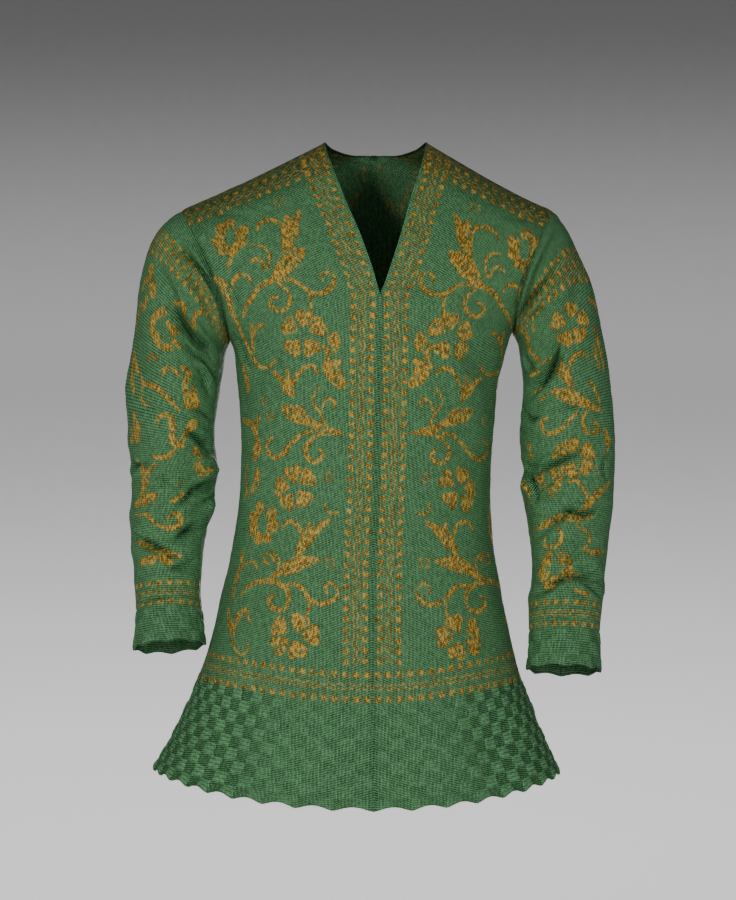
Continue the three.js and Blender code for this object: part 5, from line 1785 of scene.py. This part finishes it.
    def emboss(self, gold: Wire) -> None:
        """Raises the stitches, the gilt, the edging and the basket knit's ridges."""
        relief = self.finish.relief
        raised = self.height * relief * self.face + self.purl * relief * 1.2 * self.reverse
        raised = raised + self.edging * self.rope * 0.3 + gold * 0.16 + self.ridges * 0.30
        bump = self.tree.nodes.new("ShaderNodeBump")
        bump.inputs["Strength"].default_value = 1.0
        bump.inputs["Distance"].default_value = MM
        raised.plug(bump.inputs["Height"])
        shader = self.tree.nodes["Principled BSDF"]
        self.tree.links.new(bump.outputs["Normal"], shader.inputs["Normal"])


class KnitMaker:
    """Makes the knitted finish from the shared groups."""

    def __init__(self) -> None:
        """Builds the shared groups once."""
        self.stitches = stitch_courses()
        self.border = gilt_border()
        self.basket = basket_knit()
        self.silk = silk_wear_and_painted_light()
        self.thread = gilt_thread()

    def make(self, finish: KnitFinish) -> Material:
        """A material of one finish.

        Args:
            finish: its colours and sizes.

        Returns:
            The material.
        """
        weave = Weave(self, finish)
        gold = weave.gilding()
        weave.dye(gold)
        weave.emboss(gold)
        return weave.material


# ------------------------------------------------------------------ the garment


@dataclass(frozen=True)
class Cut:
    """The flat size of a piece as it comes off the needles, in metres and square metres."""

    width: float
    length: float
    area: float


@dataclass
class Jacket:
    """The whole jacket: two fronts, a back and two sleeves."""

    fronts: dict[Side, Cut] = field(
        default_factory=lambda: {Side.RIGHT: Cut(0.33, 0.73, 0.152), Side.LEFT: Cut(0.29, 0.73, 0.134)}
    )
    back: Cut = Cut(0.56, 0.71, 0.285)
    sleeves: dict[Side, Cut] = field(
        default_factory=lambda: {Side.RIGHT: Cut(0.36, 0.49, 0.127), Side.LEFT: Cut(0.36, 0.53, 0.133)}
    )
    inner_step: int = 3

    def build(self, knit: KnitMaker) -> None:
        """Builds each piece and fixes it to the frame.

        Args:
            knit: makes the finish of each piece.
        """
        fronts: dict[Side, Panel] = {}
        for side in Side:
            half = BodyHalf(side, Face.FRONT)
            panel = half.panel()
            brocade(panel, FRONT_CHART if side is Side.RIGHT else mirrored(FRONT_CHART))
            fronts[side] = panel
            self.finish(f"front_{side.label}", [panel], 0, self.fronts[side], knit)

        halves = []
        for side in Side:
            half = BodyHalf(side, Face.BACK, columns=112, plain_rows=165, armhole_rows=108, gather=0)
            panel = half.panel()
            half.copy_from(panel, fronts[side])
            halves.append(panel)
        self.finish("back", halves, half.neck_row(), self.back, knit)

        for side in Side:
            sleeve = Sleeve(side)
            panel = sleeve.panel()
            brocade(panel, SLEEVE_CHART[side])
            sleeve.fold_over(panel)
            self.finish(f"sleeve_{side.label}", [panel], 0, self.sleeves[side], knit)

    def finish(self, node: str, panels: list[Panel], weld_to: int, cut: Cut, knit: KnitMaker) -> None:
        """Makes one piece's mesh, fixes it to the frame and hides the node that it replaces.

        Args:
            node: the node that it replaces.
            panels: its cloth.
            weld_to: the row where two panels part.
            cut: its flat size; not used.
            knit: makes its finish.
        """
        mesh = ShellMesh(f"{node}_cloth")
        turned = node in ("front_right", "back", "sleeve_left")
        close_panels(mesh, panels, self.inner_step, weld_to, turned)
        piece = mesh.build(knit.make(KnitFinish(f"{node}_silk_knit")))
        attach(piece, "root")
        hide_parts(node)


# ------------------------------------------------------------------ the studio


@dataclass
class Studio:
    """A pale floor, a backdrop that darkens upwards, soft lights and the camera; metres."""

    floor_z: float = -1.25
    camera: Triple = (-0.0065, -3.0, -0.333)
    lens: float = 111.0
    top: Triple = (0.100, 0.100, 0.103)
    middle: Triple = (0.36, 0.36, 0.36)
    foot: Triple = (0.97, 0.97, 0.97)
    middle_z: float = -0.13  # where the paper is as dark as the middle colour
    top_z: float = 0.8
    glow: float = 0.87  # how far the paper glows for the camera, as painted light
    wall_y: float = 3.8
    curve: float = 1.6
    half_width: float = 6.0
    world_grey: float = 0.80
    world_strength: float = 0.20

    def build(self) -> None:
        """Makes the floor, backdrop, lights and camera."""
        self.cyclorama()
        self.lamp("left", (-0.95, -2.25, 0.02), (0, 0, -0.45), 0.45, 17.0)
        self.lamp("right", (1.15, -2.3, -0.20), (0, 0, -0.47), 0.6, 9.5)
        self.lamp("back", (0.2, 2.3, -0.15), (0, 0, -0.40), 0.9, 15.0)
        world = bpy.data.worlds.new("studio")
        world.use_nodes = True
        background = world.node_tree.nodes["Background"]
        background.inputs[0].default_value = (self.world_grey, self.world_grey, self.world_grey, 1)
        background.inputs[1].default_value = self.world_strength
        bpy.context.scene.world = world
        data = bpy.data.cameras.new("camera")
        data.sensor_fit, data.sensor_height, data.lens = "VERTICAL", 36.0, self.lens
        data.clip_end = 50
        camera = bpy.data.objects.new("camera", data)
        camera.location, camera.rotation_euler = self.camera, (math.pi / 2, 0, 0)
        bpy.context.scene.collection.objects.link(camera)
        bpy.context.scene.camera = camera

    def cyclorama(self) -> None:
        """Makes the floor and the curved backdrop behind it."""
        bend_y, steps = self.wall_y - self.curve, 24
        profile = [(-4.5, self.floor_z), (bend_y, self.floor_z)]
        for k in range(1, steps + 1):
            turn = k / steps * math.pi / 2
            rise = self.curve * (1 - math.cos(turn))
            profile.append((bend_y + self.curve * math.sin(turn), self.floor_z + rise))
        profile.append((self.wall_y, 4.5))
        mesh = bpy.data.meshes.new("backdrop")
        verts = [(x, y, z) for y, z in profile for x in (-self.half_width, self.half_width)]
        faces = [(2 * k, 2 * k + 1, 2 * k + 3, 2 * k + 2) for k in range(len(profile) - 1)]
        mesh.from_pydata(verts, [], faces)
        mesh.shade_smooth()
        mesh.materials.append(self.paper())
        backdrop = bpy.data.objects.new("backdrop", mesh)
        bpy.context.scene.collection.objects.link(backdrop)

    def paper(self) -> Material:
        """Matt backdrop paper that turns from pale at its foot to dark grey, and glows in that colour for the
        camera as painted light.
        """
        material = bpy.data.materials.new("backdrop_paper")
        material.use_nodes = True
        graph = Graph(material.node_tree)
        place = graph.object_place()
        height = graph.split(place)[2]
        grain = (graph.cloud(place, 30.0) - 0.5) * 0.04
        level = height + grain
        colour = graph.blend(level.rise(self.floor_z, self.middle_z), self.foot, self.middle)
        colour = graph.blend(level.rise(self.middle_z, self.top_z), colour, self.top)
        shader = material.node_tree.nodes["Principled BSDF"]
        material.node_tree.links.new(colour, shader.inputs["Base Color"])
        shader.inputs["Roughness"].default_value = 0.9
        # painted light: camera rays see the paper glow in its own colour
        rays = material.node_tree.nodes.new("ShaderNodeLightPath").outputs
        seen = graph.blend(Wire(material.node_tree, rays["Is Camera Ray"]), (0.0, 0.0, 0.0), colour)
        material.node_tree.links.new(seen, shader.inputs["Emission Color"])
        shader.inputs["Emission Strength"].default_value = self.glow
        return material

    def lamp(self, name: str, place: Triple, aim: Triple, size: float, watts: float) -> None:
        """Makes a soft square lamp that faces a point.

        Args:
            name: the lamp's name.
            place: where it is.
            aim: what it faces.
            size: the length of its side.
            watts: its power.
        """
        data = bpy.data.lights.new(name, "AREA")
        data.shape, data.size, data.energy = "SQUARE", size, watts
        lamp = bpy.data.objects.new(name, data)
        lamp.location = place
        lamp.visible_camera = False
        way = np.array(aim) - np.array(place)
        tilt = math.acos(-way[2] / float(np.linalg.norm(way)))
        lamp.rotation_euler = (tilt, 0.0, math.atan2(-way[0], way[1]))
        bpy.context.scene.collection.objects.link(lamp)


def main() -> None:
    """Builds the jacket and the studio."""
    logging.basicConfig(level=logging.INFO, format="%(name)s: %(message)s")
    Studio().build()
    log.info("studio")
    Jacket().build(KnitMaker())


if __name__ == "__main__":
    main()
